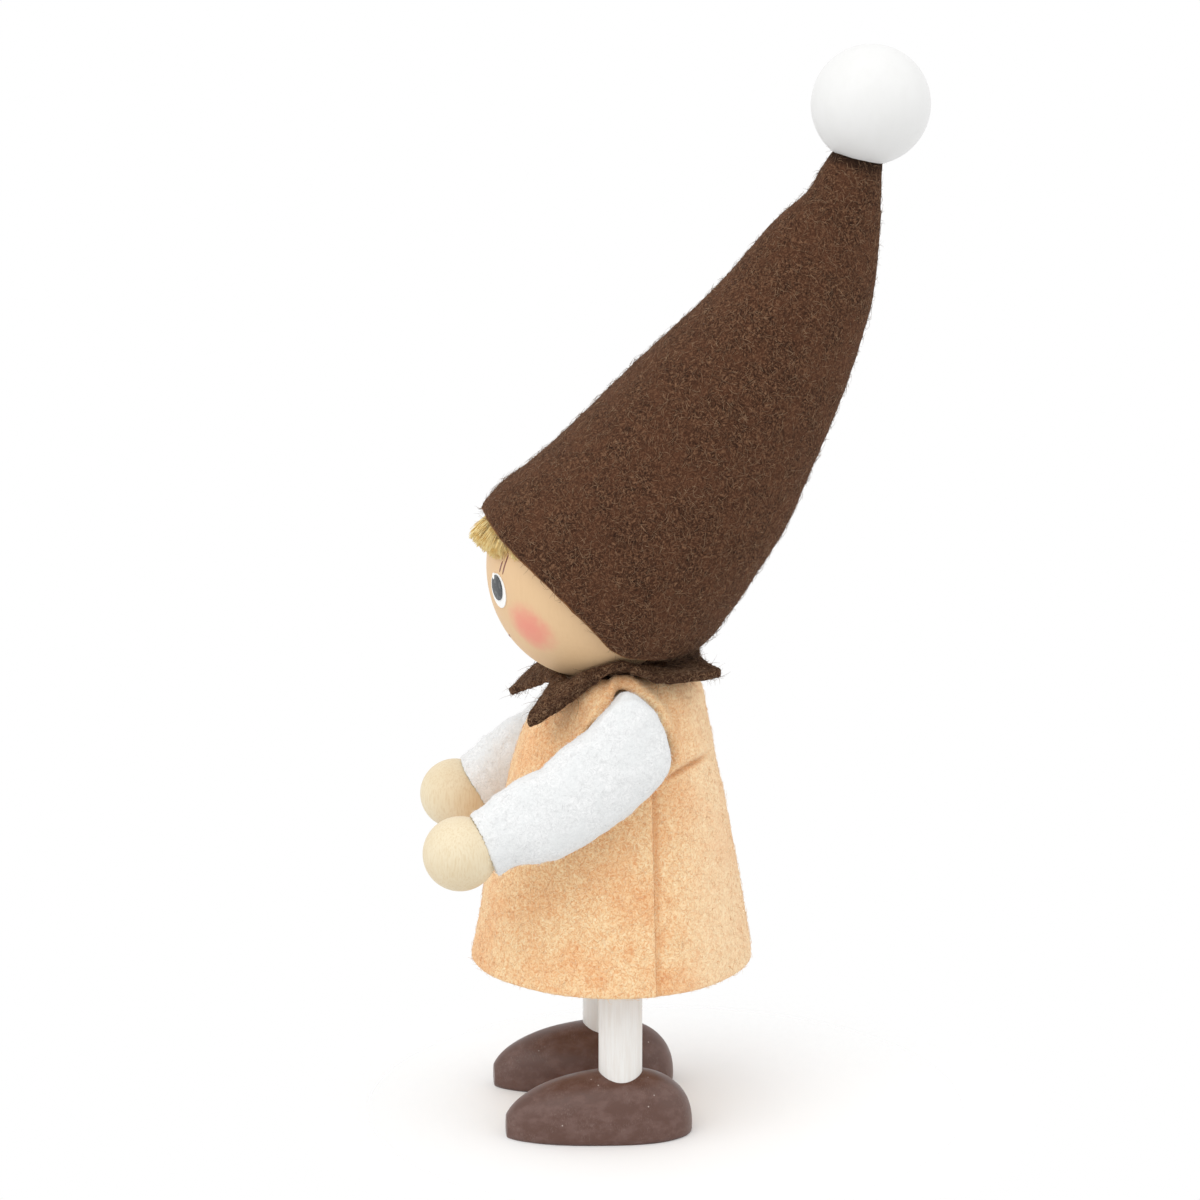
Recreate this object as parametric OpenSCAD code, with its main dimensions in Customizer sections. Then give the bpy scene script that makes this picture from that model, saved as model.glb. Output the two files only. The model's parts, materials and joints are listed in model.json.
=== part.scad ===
// Peg wooden doll with a tall felt cap, a felt tunic and bendable arms.
// It stands on the ground at z = 0, faces -Y, and +X is on its left hand.

/* [Torso] */
// Height of the torso's underside
torso_bottom = 31; // [28:0.5:36]
// Height where the torso starts to narrow to its waist
waist_z = 47; // [44:0.5:50]
// Radius of the torso from the waist to the neck
torso_top_r = 8.4; // [7:0.1:9]
// Gap between the tunic's skirt and the torso
skirt_gap = 1; // [0.4:0.1:3]

/* [Tunic] */
// Height of the hem
hem_z = 24; // [20:0.5:27]
// Outer radius at the hem
hem_r = 21.45; // [19:0.05:24]
// Height where the skirt's straight side ends
chest_z = 63.6; // [62:0.1:65]
// Outer radius there
chest_r = 12.8; // [12:0.1:14]
// Height of the flat top, under the collar
tunic_top_z = 68.5; // [68:0.1:71]
// Radius of the flat top
crest_r = 9.9; // [9:0.1:11]
// Thickness of the felt
felt_t = 1.3; // [0.8:0.05:1.6]
// How far the front panel stands out over the back panel
lap_step = 0.3; // [0.1:0.05:1]
// How far behind the torso's axis the side seams lie
seam_y = 4.2; // [2:0.1:5.5]
// Radius of the neck hole in the tunic and the collar
neck_hole_r = 7.7; // [6:0.1:8]

/* [Collar] */
// Thickness of the collar's felt
collar_t = 1.2; // [0.8:0.05:1.5]
// Radius of the collar between its points, at the sides and the back
collar_notch_r = 11.4; // [11:0.1:12]
// Radius of the collar between its two front points
front_notch_r = 12.3; // [12:0.1:13]
// Reach of the two front points
front_point_r = 18; // [15:0.1:20]
// Reach of the two back points
back_point_r = 19.1; // [15:0.1:20]
// How far the front points hang down
point_fall = 6.2; // [3:0.1:8]

/* [Head] */
// Radius of the head, looking down on it
head_r = 15.6; // [14:0.1:16]
// Height of the head's egg below its widest place
chin_drop = 17; // [15.6:0.1:18]
// Lean of the egg's long axis, top to the back
head_tilt_angle = 5; // [0:0.5:8]
// How far the head and the neck sit ahead of the torso's axis
head_forward = 3; // [1:0.1:4]
// Gap between the chin and the torso
chin_gap = 0.5; // [0.3:0.05:1]
// Diameter of the neck peg
neck_peg_d = 5; // [3:0.1:7]
// Length of the neck peg in each hole
neck_peg_hold = 6.4; // [4:0.1:7]

/* [Face] */
// Width of an eye
eye_w = 4.5; // [3:0.1:6]
// Height of an eye
eye_h = 5.2; // [4:0.1:7]
// Eyes' place to the side of the face's middle line
eye_azimuth_angle = 21.5; // [15:0.5:28]
// Eyes' place below the head's widest place
eye_drop_angle = 9.5; // [5:0.5:20]
// Width of a pupil
pupil_w = 3.2; // [2:0.1:4]
// Height of a pupil
pupil_h = 3.8; // [2:0.1:4.5]
// How far the pupil sits above the eye's middle
pupil_rise = 0.5; // [0:0.1:0.6]
// Thickness of one coat of paint on the eyes
paint_t = 0.12; // [0.08:0.01:0.2]

/* [Cap] */
// Room for hair between the brow and the cap
brow_room = 1.65; // [1.4:0.05:3]
// Angle of the cap's front edge above the head's widest place
brow_angle = 27.8; // [20:0.2:35]
// Room between the head and the cap at the nape
nape_room = 4.2; // [3:0.1:5]
// Angle of the cap's edge below the head's widest place, at the nape
nape_angle = 41; // [38:0.2:42]
// Distance from the head's centre to the cap's tip
cap_reach = 70.9; // [60:0.5:80]
// Lean of the line from the head's centre to the tip, from level
cap_rise_angle = 56.7; // [50:0.5:65]
// Diameter of the cut tip
cap_tip_d = 7.1; // [6:0.1:9]
// Lean of the tip's axis from upright
cap_tip_lean_angle = 12.6; // [5:0.5:20]
// How far the cap's edge hangs lower at the ears
ear_dip = 6.2; // [4:0.1:7]

/* [Bead] */
// Diameter of the bead on the cap's tip
bead_d = 17.4; // [14:0.2:20]
// Diameter of the bead's peg
bead_peg_d = 3.2; // [2:0.1:3.6]

/* [Arms] */
// Height of the shoulder holes at the torso's axis
arm_z = 59; // [58:0.1:60]
// Radius of the sleeve's round top, which turns in the armhole
shoulder_r = 5.9; // [5:0.1:6.2]
// Gap round the sleeve in the armhole
armhole_gap = 0.5; // [0.3:0.05:0.8]
// Shoulder to elbow
upper_len = 15.6; // [14:0.1:18]
// Elbow to the centre of the hand
fore_len = 14.7; // [13:0.1:17]
// Angle of the left upper arm from hanging
left_raise_angle = 42.4; // [38:0.2:50]
// Angle of the right upper arm from hanging
right_raise_angle = 34.9; // [33:0.2:50]
// Bend of both elbows
elbow_bend_angle = 28.2; // [20:0.2:40]
// How far an elbow bends further
elbow_in_angle = 30; // [10:1:30]
// How far an elbow straightens
elbow_out_angle = 20; // [10:1:20]
// Half-width of the sleeve at the elbow, seen from the side
elbow_r = 6.1; // [5:0.1:6.5]
// Depth of the sleeve, from the body outwards
sleeve_depth = 8.2; // [7:0.1:10]
// Half-width of the sleeve at the wrist
cuff_r = 5; // [4:0.1:6]
// Diameter of a hand
hand_d = 10.8; // [9:0.1:12]
// Distance from the hand's centre to its flat wrist
wrist_flat = 3.9; // [3:0.1:4.5]
// Diameter of the wire in the arm
wire_d = 1.8; // [1:0.1:2.2]

/* [Legs] */
// Distance between the legs' axes
leg_spacing = 22.4; // [18:0.1:24]
// Diameter of a leg
leg_d = 6.5; // [5:0.1:8]
// Length of leg held in the torso
leg_hold = 9; // [6:0.5:11]

/* [Shoes] */
// Width of a shoe
shoe_w = 13.2; // [11:0.1:17]
// Height of a shoe
shoe_h = 9.8; // [8:0.1:12]
// Height of its widest line above the ground
shoe_axis_z = 1.3; // [0.5:0.1:3]
// Length from the widest place to the full toe
toe_len = 18.1; // [15:0.1:21]
// Length cut off the toe
toe_cut = 0.5; // [0.2:0.05:1]
// Length from the widest place to the heel
heel_len = 10.3; // [8:0.1:12]
// How far the widest place is behind the leg's axis
shoe_back = 0.5; // [-1:0.1:2]
// Wood left under the leg's hole
sole_wood = 3; // [2:0.1:5]

/* [Fits] */
// Radial gap of a glued peg
glue_gap = 0.02; // [0:0.01:0.05]
// Radial gap of a peg that turns
turn_gap = 0.05; // [0.02:0.01:0.1]
// Gap between pieces that rest on each other
seat_gap = 0.15; // [0.05:0.05:0.3]
// Gap between soft pieces that move past each other
soft_gap = 0.35; // [0.3:0.05:0.6]

/* [Hidden] */
$fn = 64;
mm = 1;
cut = 1 * mm;
wood = [0.87, 0.75, 0.57];
felt_brown = [0.31, 0.21, 0.15];
felt_peach = [0.94, 0.76, 0.56];
felt_white = [0.95, 0.95, 0.94];
paint_white = [0.93, 0.92, 0.9];
shoe_brown = [0.36, 0.26, 0.23];

// Skirt's outer radius at a height
function skirt_r(z) = hem_r - (hem_r - chest_r) * (z - hem_z) / (chest_z - hem_z);
// Angle by which the skirt flares, which the arms follow
splay = atan((hem_r - chest_r) / (chest_z - hem_z));

torso_top = tunic_top_z - felt_t - seat_gap;
head_z = torso_top + chin_gap + chin_drop;
collar_z = tunic_top_z + seat_gap;

leg_top = torso_bottom + leg_hold;

// Distance along a shoulder's axis to the tunic, and to the middle of the sleeve
tunic_d = skirt_r(arm_z) * cos(splay) + lap_step;
sleeve_d = tunic_d + soft_gap + sleeve_depth / 2;
shoulder_in_d = (torso_top_r + soft_gap + shoulder_r * sin(splay)) / cos(splay);
wire_r = wire_d / 2;
wire_start_d = 1.2 * wire_d;
knuckle_r = wire_r * 1.6;
hand_r = hand_d / 2;
wire_in_hand = hand_r * 0.7;

// Points of a round outline between two angles
function arc(rx, ry, from, to, steps) =
    [for (i = [0 : steps]) let (a = from + (to - from) * i / steps) [rx * cos(a), ry * sin(a)]];
function mix(a, b, t) = a + (b - a) * t;
function clamp(x) = min(1, max(0, x));

// Everything is drawn about the torso's axis, then moved so that the origin is
// under the middle of the whole doll
function hand_reach(raise) = upper_len * sin(raise) + fore_len * sin(raise + elbow_bend_angle);
doll_front = max(hand_reach(left_raise_angle), hand_reach(right_raise_angle)) + hand_r;
cap_tip = [
    cap_reach * cos(cap_rise_angle) - head_forward,
    cap_reach * sin(cap_rise_angle) + head_z
];
tip_r = cap_tip_d / 2;
bead_r = bead_d / 2;
bead_seat = sqrt(bead_r * bead_r - tip_r * tip_r);
bead_y = cap_tip[0] + bead_seat * sin(cap_tip_lean_angle);
bead_z = cap_tip[1] + bead_seat * cos(cap_tip_lean_angle);
doll_back = bead_y + bead_r;
body_y = (doll_front - doll_back) / 2;

module placed() {
    translate([0, body_y, 0]) children();
}

// A shoulder's own frame: X out along its axis, Z up the side of the tunic
module at_shoulder(side) {
    mirror([side < 0 ? 1 : 0, 0, 0])
        translate([0, 0, arm_z])
            rotate([0, -splay, 0]) children();
}

// The upper arm's frame: as at_shoulder, with -Z towards the elbow
module at_upper(side) {
    raise = side > 0 ? left_raise_angle : right_raise_angle;
    at_shoulder(side) rotate([-raise, 0, 0]) children();
}

// The forearm's frame: origin in the elbow, -Z towards the hand
module at_fore(side) {
    at_upper(side)
        translate([sleeve_d, 0, -upper_len])
            rotate([-elbow_bend_angle, 0, 0]) children();
}

// A rod along +X of the frame it is drawn in
module rod_x(from, to, r) {
    translate([from, 0, 0]) rotate([0, 90, 0]) cylinder(h = to - from, r = r);
}

// Torso
module torso() {
    low_r = skirt_r(torso_bottom) - felt_t - skirt_gap;
    waist_r = skirt_r(waist_z) - felt_t - skirt_gap;
    neck_in = waist_r - torso_top_r;
    color(wood) placed() difference() {
        rotate_extrude() polygon(concat(
            [[0, torso_bottom], [low_r, torso_bottom], [waist_r, waist_z]],
            [for (i = [1 : 8]) let (t = i / 8)
                [torso_top_r + neck_in * (1 - sin(90 * t)), waist_z + neck_in * t]],
            [[torso_top_r, torso_top], [0, torso_top]]
        ));
        translate([0, -head_forward, torso_top - neck_peg_hold])
            cylinder(h = neck_peg_hold + cut, d = neck_peg_d + 2 * glue_gap);
        for (side = [-1, 1]) {
            translate([side * leg_spacing / 2, 0, torso_bottom - cut])
                cylinder(h = leg_hold + cut, d = leg_d + 2 * glue_gap);
            at_shoulder(side)
                rod_x(wire_start_d - seat_gap, shoulder_in_d + cut, wire_r + turn_gap);
        }
    }
}

module neck_peg() {
    color(wood) placed()
        translate([0, -head_forward, torso_top - neck_peg_hold])
            cylinder(h = 2 * neck_peg_hold + chin_gap - seat_gap, d = neck_peg_d);
}

// Tunic
module tunic_shell(step) {
    inner_chest_r = chest_r - felt_t;
    inner_top_z = tunic_top_z - felt_t;
    rotate_extrude() polygon(concat(
        [[0, tunic_top_z]],
        [for (p = arc(chest_r - crest_r, tunic_top_z - chest_z, 90, 0, 8))
            [crest_r + step + p[0], chest_z + p[1]]],
        [[hem_r + step, hem_z], [hem_r - felt_t, hem_z]],
        [for (p = arc(inner_chest_r - crest_r, inner_top_z - chest_z, 0, 90, 8))
            [crest_r + p[0], chest_z + p[1]]],
        [[0, inner_top_z]]
    ));
}

module tunic_panel(step, front) {
    reach = hem_r + lap_step + cut;
    difference() {
        intersection() {
            tunic_shell(step);
            translate([-reach, front ? -reach : seam_y, hem_z - cut])
                cube([2 * reach, front ? reach + seam_y : reach, tunic_top_z]);
        }
        translate([0, -head_forward, chest_z]) cylinder(h = tunic_top_z, r = neck_hole_r);
        for (side = [-1, 1]) at_shoulder(side) armhole();
    }
}

// An armhole is round, with a lower lobe where the sleeve's corner comes out
module armhole() {
    low = shoulder_r * 0.45;
    rod_x(torso_top_r, tunic_d + felt_t + cut, shoulder_r + armhole_gap);
    translate([0, low, -low]) rod_x(torso_top_r, tunic_d + felt_t + cut, shoulder_r * 0.75);
}

module tunic_front() {
    color(felt_peach) placed() tunic_panel(lap_step, true);
}

module tunic_back() {
    color(felt_peach) placed() tunic_panel(0, false);
}

// Collar, with a point towards each corner
front_point_azimuth = -47;
back_point_azimuth = 50;
collar_steps = 10;
collar_rings = 6;
point_blunt_share = 0.06;
point_hollow_share = 0.45;
// Share of the felt's thickness left where the head presses it
pressed_share = 0.5;
pressed_width_share = 0.35;
// The points hang less from this share of the way back
fall_back_share = 0.35;
fall_front_share = -0.55;
// Shares of the way round from a notch to a point
function corner_share(t) = t >= 1 - point_blunt_share ? 1 :
    pow(t / (1 - point_blunt_share), 1 / point_hollow_share);
function collar_r(azimuth) =
    azimuth > 90 ? collar_r(180 - azimuth) :
    azimuth < -90 ? collar_r(-180 - azimuth) :
    let (
        point = azimuth < 0 ? front_point_azimuth : back_point_azimuth,
        tip = azimuth < 0 ? front_point_r : back_point_r,
        side = abs(azimuth) < abs(point),
        t = side ? azimuth / point : (90 - abs(azimuth)) / (90 - abs(point)),
        notch = azimuth < 0 && !side ? front_notch_r : collar_notch_r
    ) mix(notch, tip, corner_share(t));
collar_azimuths = concat(
    [for (i = [0 : collar_steps - 1]) back_point_azimuth * i / collar_steps],
    [for (i = [0 : 2 * collar_steps - 1])
        mix(back_point_azimuth, 180 - back_point_azimuth, i / (2 * collar_steps))],
    [for (i = [0 : collar_steps - 1]) mix(180 - back_point_azimuth, 180, i / collar_steps)],
    [for (i = [0 : collar_steps - 1]) mix(-180, -180 - front_point_azimuth, i / collar_steps)],
    [for (i = [0 : 2 * collar_steps - 1])
        mix(-180 - front_point_azimuth, front_point_azimuth, i / (2 * collar_steps))],
    [for (i = [0 : collar_steps - 1]) mix(front_point_azimuth, 0, i / collar_steps)]
);
function collar_fall(r, azimuth) =
    let (
        from_r = crest_r + lap_step,
        front = clamp((fall_back_share - sin(azimuth)) / (fall_back_share - fall_front_share)),
        out = clamp((r - from_r) / (front_point_r - from_r))
    ) point_fall * front * pow(out, 1.6);
// Where a ray from the torso's axis leaves the neck hole
function hole_r(azimuth) =
    let (s = sin(azimuth), c = cos(azimuth), f = head_forward)
    -f * s + sqrt(neck_hole_r * neck_hole_r - f * f * c * c);
function collar_point(azimuth, t, top) =
    let (
        r = mix(hole_r(azimuth), collar_r(azimuth), t),
        thick = top ? collar_t * mix(pressed_share, 1, clamp(t / pressed_width_share)) : 0
    ) [r * cos(azimuth), r * sin(azimuth), collar_z - collar_fall(r, azimuth) + thick];

module collar() {
    rows = concat(
        [for (k = [0 : collar_rings]) [k / collar_rings, true]],
        [for (k = [collar_rings : -1 : 0]) [k / collar_rings, false]]
    );
    color(felt_brown) placed() closed_tube([
        for (row = rows) [for (a = collar_azimuths) collar_point(a, row[0], row[1])]
    ]);
}

// A ring of cross-sections whose last row joins its first
module closed_tube(rows) {
    m = len(rows);
    n = len(rows[0]);
    polyhedron(
        points = [for (row = rows) each row],
        faces = [
            for (k = [0 : m - 1]) for (i = [0 : n - 1])
                let (j = (i + 1) % n, l = (k + 1) % m)
                    each [[k * n + i, l * n + i, l * n + j], [k * n + i, l * n + j, k * n + j]]
        ]
    );
}

// Legs
module leg(side) {
    color(paint_white) placed()
        translate([side * leg_spacing / 2, 0, sole_wood])
            cylinder(h = leg_top - sole_wood, d = leg_d);
}

module left_leg() {
    leg(1);
}

module right_leg() {
    leg(-1);
}

// Shoes, each an egg with a flat sole and a cut toe
toe_steps = 9;
heel_steps = 8;
heel_power = 2.25;
slice_t = 0.002 * shoe_h;
// A cross-section of the shoe, as a share of the largest, standing on the ground
module shoe_section(y, share) {
    rise = (shoe_h - shoe_axis_z) * share;
    foot = asin(min(1, shoe_axis_z / rise));
    translate([0, y, shoe_axis_z]) rotate([90, 0, 0]) linear_extrude(slice_t)
        polygon(arc(shoe_w / 2 * share, rise, -foot, 180 + foot, 22));
}

module shoe(side) {
    toe_x = toe_len - toe_cut;
    color(shoe_brown) placed()
        translate([side * leg_spacing / 2, 0, 0]) difference() {
            translate([0, shoe_back, 0]) hull() {
                for (i = [0 : toe_steps]) {
                    y = toe_x * sin(90 * i / toe_steps);
                    shoe_section(-y, sqrt(1 - pow(y / toe_len, 2)));
                }
                for (i = [1 : heel_steps]) {
                    d = heel_len * sin(89 * i / heel_steps);
                    shoe_section(d, pow(1 - pow(d / heel_len, heel_power), 1 / heel_power));
                }
            }
            translate([0, 0, sole_wood]) cylinder(h = shoe_h, d = leg_d + 2 * glue_gap);
        }
}

module left_shoe() {
    shoe(1);
}

module right_shoe() {
    shoe(-1);
}

// Head
module at_head() {
    placed() translate([0, -head_forward, head_z]) children();
}

module egg(grow) {
    rotate([-head_tilt_angle, 0, 0]) rotate_extrude() polygon(concat(
        arc(head_r + grow, chin_drop + grow, -90, 0, 30),
        [for (p = arc(head_r + grow, head_r + grow, 0, 90, 30)) if (p[1] > 0) p]
    ));
}

module head() {
    color(wood) at_head() difference() {
        egg(0);
        translate([0, 0, -chin_drop - chin_gap])
            cylinder(h = neck_peg_hold + chin_gap, d = neck_peg_d + 2 * turn_gap);
    }
}

// A coat of paint on the face, seen as an oval
module paint_spot(side, w, h, rise, inner, outer) {
    intersection() {
        difference() {
            egg(outer);
            egg(inner);
        }
        rotate([0, 0, side * eye_azimuth_angle]) rotate([90 + eye_drop_angle, 0, 0])
            translate([0, rise, head_r / 2])
                linear_extrude(head_r) scale([w / h, 1]) circle(d = h);
    }
}

module eye_white(side) {
    color(paint_white) at_head() paint_spot(side, eye_w, eye_h, 0, glue_gap, paint_t + glue_gap);
}

module pupil(side) {
    color([0.25, 0.27, 0.29]) at_head()
        paint_spot(side, pupil_w, pupil_h, pupil_rise, paint_t + 2 * glue_gap, 2 * (paint_t + glue_gap));
}

module left_eye_white() {
    eye_white(1);
}

module right_eye_white() {
    eye_white(-1);
}

module left_pupil() {
    pupil(1);
}

module right_pupil() {
    pupil(-1);
}

// Cap: rings from its edge to its tip, each through a front and a back outline
cap_rings = 12;
cap_sides = 40;
// Shares of the front outline's length that it stands out
front_line_shares = [
    [0, 0], [0.06, 0.006], [0.2, -0.009], [0.4, -0.014], [0.6, -0.019], [0.85, -0.019], [1, 0]
];
// Shares of the back outline's length that it stands out
back_line_shares = [
    [0, 0], [0.08, 0.03], [0.21, 0.058], [0.34, 0.08], [0.5, 0.086],
    [0.65, 0.084], [0.77, 0.072], [0.88, 0.042], [1, 0]
];
// Shares of the cap's width at the ears
side_width_shares = [
    [0, 0.98], [0.08, 1.02], [0.2, 1.02], [0.35, 0.9], [0.5, 0.76], [0.75, 0.48], [1, 0.19]
];
// Share by which the cap is fuller in front of its middle than behind it
fuller_share = 0.16;
ear_w = head_r + seat_gap * 2 + felt_t;
brow = [-(head_r + felt_t + brow_room) * cos(brow_angle), (head_r + felt_t + brow_room) * sin(brow_angle)];
nape = [(head_r + felt_t + nape_room) * cos(nape_angle), -(head_r + felt_t + nape_room) * sin(nape_angle)];
tip_mid = [cap_reach * cos(cap_rise_angle), cap_reach * sin(cap_rise_angle)];
tip_half = tip_r * [cos(cap_tip_lean_angle), -sin(cap_tip_lean_angle)];
function across(v) = [-v[1], v[0]];
function cap_front(t) =
    let (line = tip_mid - tip_half - brow) brow + line * t + across(line) * lookup(t, front_line_shares);
function cap_back(t) =
    let (line = tip_mid + tip_half - nape) nape + line * t - across(line) * lookup(t, back_line_shares);
function cap_ring(t, inset) =
    let (
        f = cap_front(t),
        b = cap_back(t),
        half = (f - b) / 2,
        mid = (f + b) / 2,
        long = norm(half),
        wide = ear_w * lookup(t, side_width_shares),
        dip = ear_dip * pow(1 - t, 3)
    ) [
        for (i = [0 : cap_sides - 1]) let (
            u = 360 * i / cap_sides,
            c = cos(u) * (long - inset) / long,
            full = wide * (1 + fuller_share * cos(u)) - inset,
            drop = dip * pow(sin(u), 2)
        ) [full * sin(u), mid[0] + half[0] * c, mid[1] + half[1] * c - drop]
    ];

module cap_felt(out, thick) {
    closed_tube(concat(
        [for (k = [0 : cap_rings]) cap_ring(k / cap_rings, -out)],
        [for (k = [cap_rings : -1 : 0]) cap_ring(k / cap_rings, thick - out)]
    ));
}

module cap() {
    color(felt_brown) at_head() cap_felt(0, felt_t);
}

// Hair fringe: a puff under the cap's front edge, and the hair it grows from
fringe_side_angle = 33;
module fringe() {
    puff_r = head_r + brow_room + felt_t * 0.9;
    root_r = head_r + brow_room * 0.55;
    skin_r = head_r + seat_gap;
    color([0.84, 0.76, 0.43]) at_head() difference() {
        rotate([0, 0, -90 - fringe_side_angle])
            rotate_extrude(angle = 2 * fringe_side_angle) polygon(concat(
                arc(skin_r, skin_r, 9, 40, 8),
                arc(root_r, root_r, 40, 24, 4),
                arc(puff_r, puff_r, 21, 14, 4)
            ));
        cap_felt(seat_gap, felt_t + 2 * seat_gap);
    }
}

// Bead on the cap's tip
module at_tip() {
    at_head() translate([0, tip_mid[0], tip_mid[1]]) rotate([-cap_tip_lean_angle, 0, 0]) children();
}

module bead() {
    color(paint_white) at_tip() difference() {
        translate([0, 0, bead_seat]) sphere(r = bead_r);
        translate([-bead_r, -bead_r, -bead_d]) cube([bead_d, bead_d, bead_d]);
        translate([0, 0, -cut]) cylinder(h = bead_r + cut, d = bead_peg_d + 2 * glue_gap);
    }
}

module bead_peg() {
    color(wood) at_tip() translate([0, 0, -bead_r / 2])
        cylinder(h = 1.5 * bead_r - seat_gap, d = bead_peg_d);
}

// Arms
module elbow_ball(grow) {
    rotate([0, 90, 0]) rotate_extrude() polygon(concat(
        arc(elbow_r + grow, sleeve_depth / 2 + grow, -90, 90, 24)
    ));
}

// A puffy lump of the sleeve, seen from the side as a circle
module puff(y, z, r) {
    translate([sleeve_d, y, z]) scale([sleeve_depth / 2, r, r]) sphere(r = 1, $fn = 24);
}

// The wire in the upper arm: out of the torso, then down to the elbow
module upper_wire_shape(grow) {
    rod_x(wire_start_d, sleeve_d, wire_r + grow);
    translate([sleeve_d, 0, 0]) sphere(r = wire_r + grow);
    translate([sleeve_d, 0, -upper_len]) cylinder(h = upper_len, r = wire_r + grow);
    translate([sleeve_d, 0, -upper_len]) sphere(r = knuckle_r + grow);
}

module shoulder_top() {
    edge = 0.42 * shoulder_r;
    top_d = sleeve_d + sleeve_depth / 2 - edge * 0.4;
    rotate([0, 90, 0]) rotate_extrude() polygon(concat(
        [[0, shoulder_in_d], [shoulder_r, shoulder_in_d]],
        [for (p = arc(edge, edge, 0, 90, 6)) [shoulder_r - edge + p[0], top_d - edge + p[1]]],
        [[0, top_d]]
    ));
}

module upper_sleeve(side) {
    lip = elbow_r * 0.77;
    color(felt_white) placed() at_upper(side) difference() {
        union() {
            shoulder_top();
            hull() {
                puff(shoulder_r * 0.3, -shoulder_r * 0.2, shoulder_r);
                puff(shoulder_r * 0.4, -upper_len * 0.4, elbow_r * 1.06);
                puff(shoulder_r * 0.2, -upper_len * 0.8, elbow_r);
            }
        }
        translate([sleeve_d, 0, -upper_len]) elbow_ball(soft_gap);
        translate([tunic_d, -2 * upper_len, -3 * upper_len + lip])
            cube([2 * sleeve_d, 4 * upper_len, 2 * upper_len]);
        upper_wire_shape(glue_gap);
    }
}

module upper_wire(side) {
    color([0.7, 0.7, 0.72]) placed() at_upper(side) upper_wire_shape(0);
}

module forearm_sleeve(side) {
    cuff_z = fore_len - wrist_flat;
    slot_r = wire_r + soft_gap;
    slot_from = elbow_bend_angle - elbow_out_angle;
    slot_to = elbow_bend_angle + elbow_in_angle;
    color(felt_white) placed() at_fore(side) difference() {
        union() {
            elbow_ball(0);
            hull() {
                translate([0, 0, -elbow_r * 0.15])
                    scale([sleeve_depth / 2 - seat_gap, elbow_r * 0.97, elbow_r * 0.97])
                        sphere(r = 1, $fn = 24);
                translate([0, 0, -cuff_z]) linear_extrude(felt_t)
                    scale([sleeve_depth / 2 / cuff_r, 1]) circle(r = cuff_r, $fn = 32);
            }
        }
        sphere(r = knuckle_r + soft_gap);
        rotate([0, 90, 0]) rotate([0, 0, 180 + slot_from]) rotate_extrude(angle = slot_to - slot_from)
            translate([0, -slot_r]) square([2 * elbow_r, 2 * slot_r]);
        for (a = [slot_from, slot_to]) rotate([a, 0, 0]) cylinder(h = 2 * elbow_r, r = slot_r);
        translate([0, 0, -fore_len]) cylinder(h = fore_len, r = wire_r + glue_gap);
    }
}

module forearm_wire(side) {
    from = knuckle_r + soft_gap;
    color([0.7, 0.7, 0.72]) placed() at_fore(side)
        translate([0, 0, -fore_len - wire_in_hand + wrist_flat])
            cylinder(h = fore_len + wire_in_hand - wrist_flat - from, r = wire_r);
}

module hand(side) {
    color([0.91, 0.83, 0.66]) placed() at_fore(side) difference() {
        translate([0, 0, -fore_len]) sphere(r = hand_r);
        translate([-hand_r, -hand_r, wrist_flat - fore_len]) cube(hand_d);
        translate([0, 0, -fore_len - wire_in_hand + wrist_flat - glue_gap])
            cylinder(h = 2 * hand_r, r = wire_r + glue_gap);
    }
}

module left_upper_sleeve() {
    upper_sleeve(1);
}

module right_upper_sleeve() {
    upper_sleeve(-1);
}

module left_upper_wire() {
    upper_wire(1);
}

module right_upper_wire() {
    upper_wire(-1);
}

module left_forearm_sleeve() {
    forearm_sleeve(1);
}

module right_forearm_sleeve() {
    forearm_sleeve(-1);
}

module left_forearm_wire() {
    forearm_wire(1);
}

module right_forearm_wire() {
    forearm_wire(-1);
}

module left_hand() {
    hand(1);
}

module right_hand() {
    hand(-1);
}

torso();
neck_peg();
tunic_front();
tunic_back();
collar();
left_leg();
right_leg();
left_shoe();
right_shoe();
head();
left_eye_white();
right_eye_white();
left_pupil();
right_pupil();
fringe();
cap();
bead();
bead_peg();
left_upper_sleeve();
right_upper_sleeve();
left_upper_wire();
right_upper_wire();
left_forearm_sleeve();
right_forearm_sleeve();
left_forearm_wire();
right_forearm_wire();
left_hand();
right_hand();
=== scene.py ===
# Looks of a peg doll with a tall felt cap, a felt tunic and felt sleeves, made around its solids.
import json
import math

import bmesh
import bpy
import numpy as np
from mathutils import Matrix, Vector, noise
from mathutils.geometry import delaunay_2d_cdt


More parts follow.
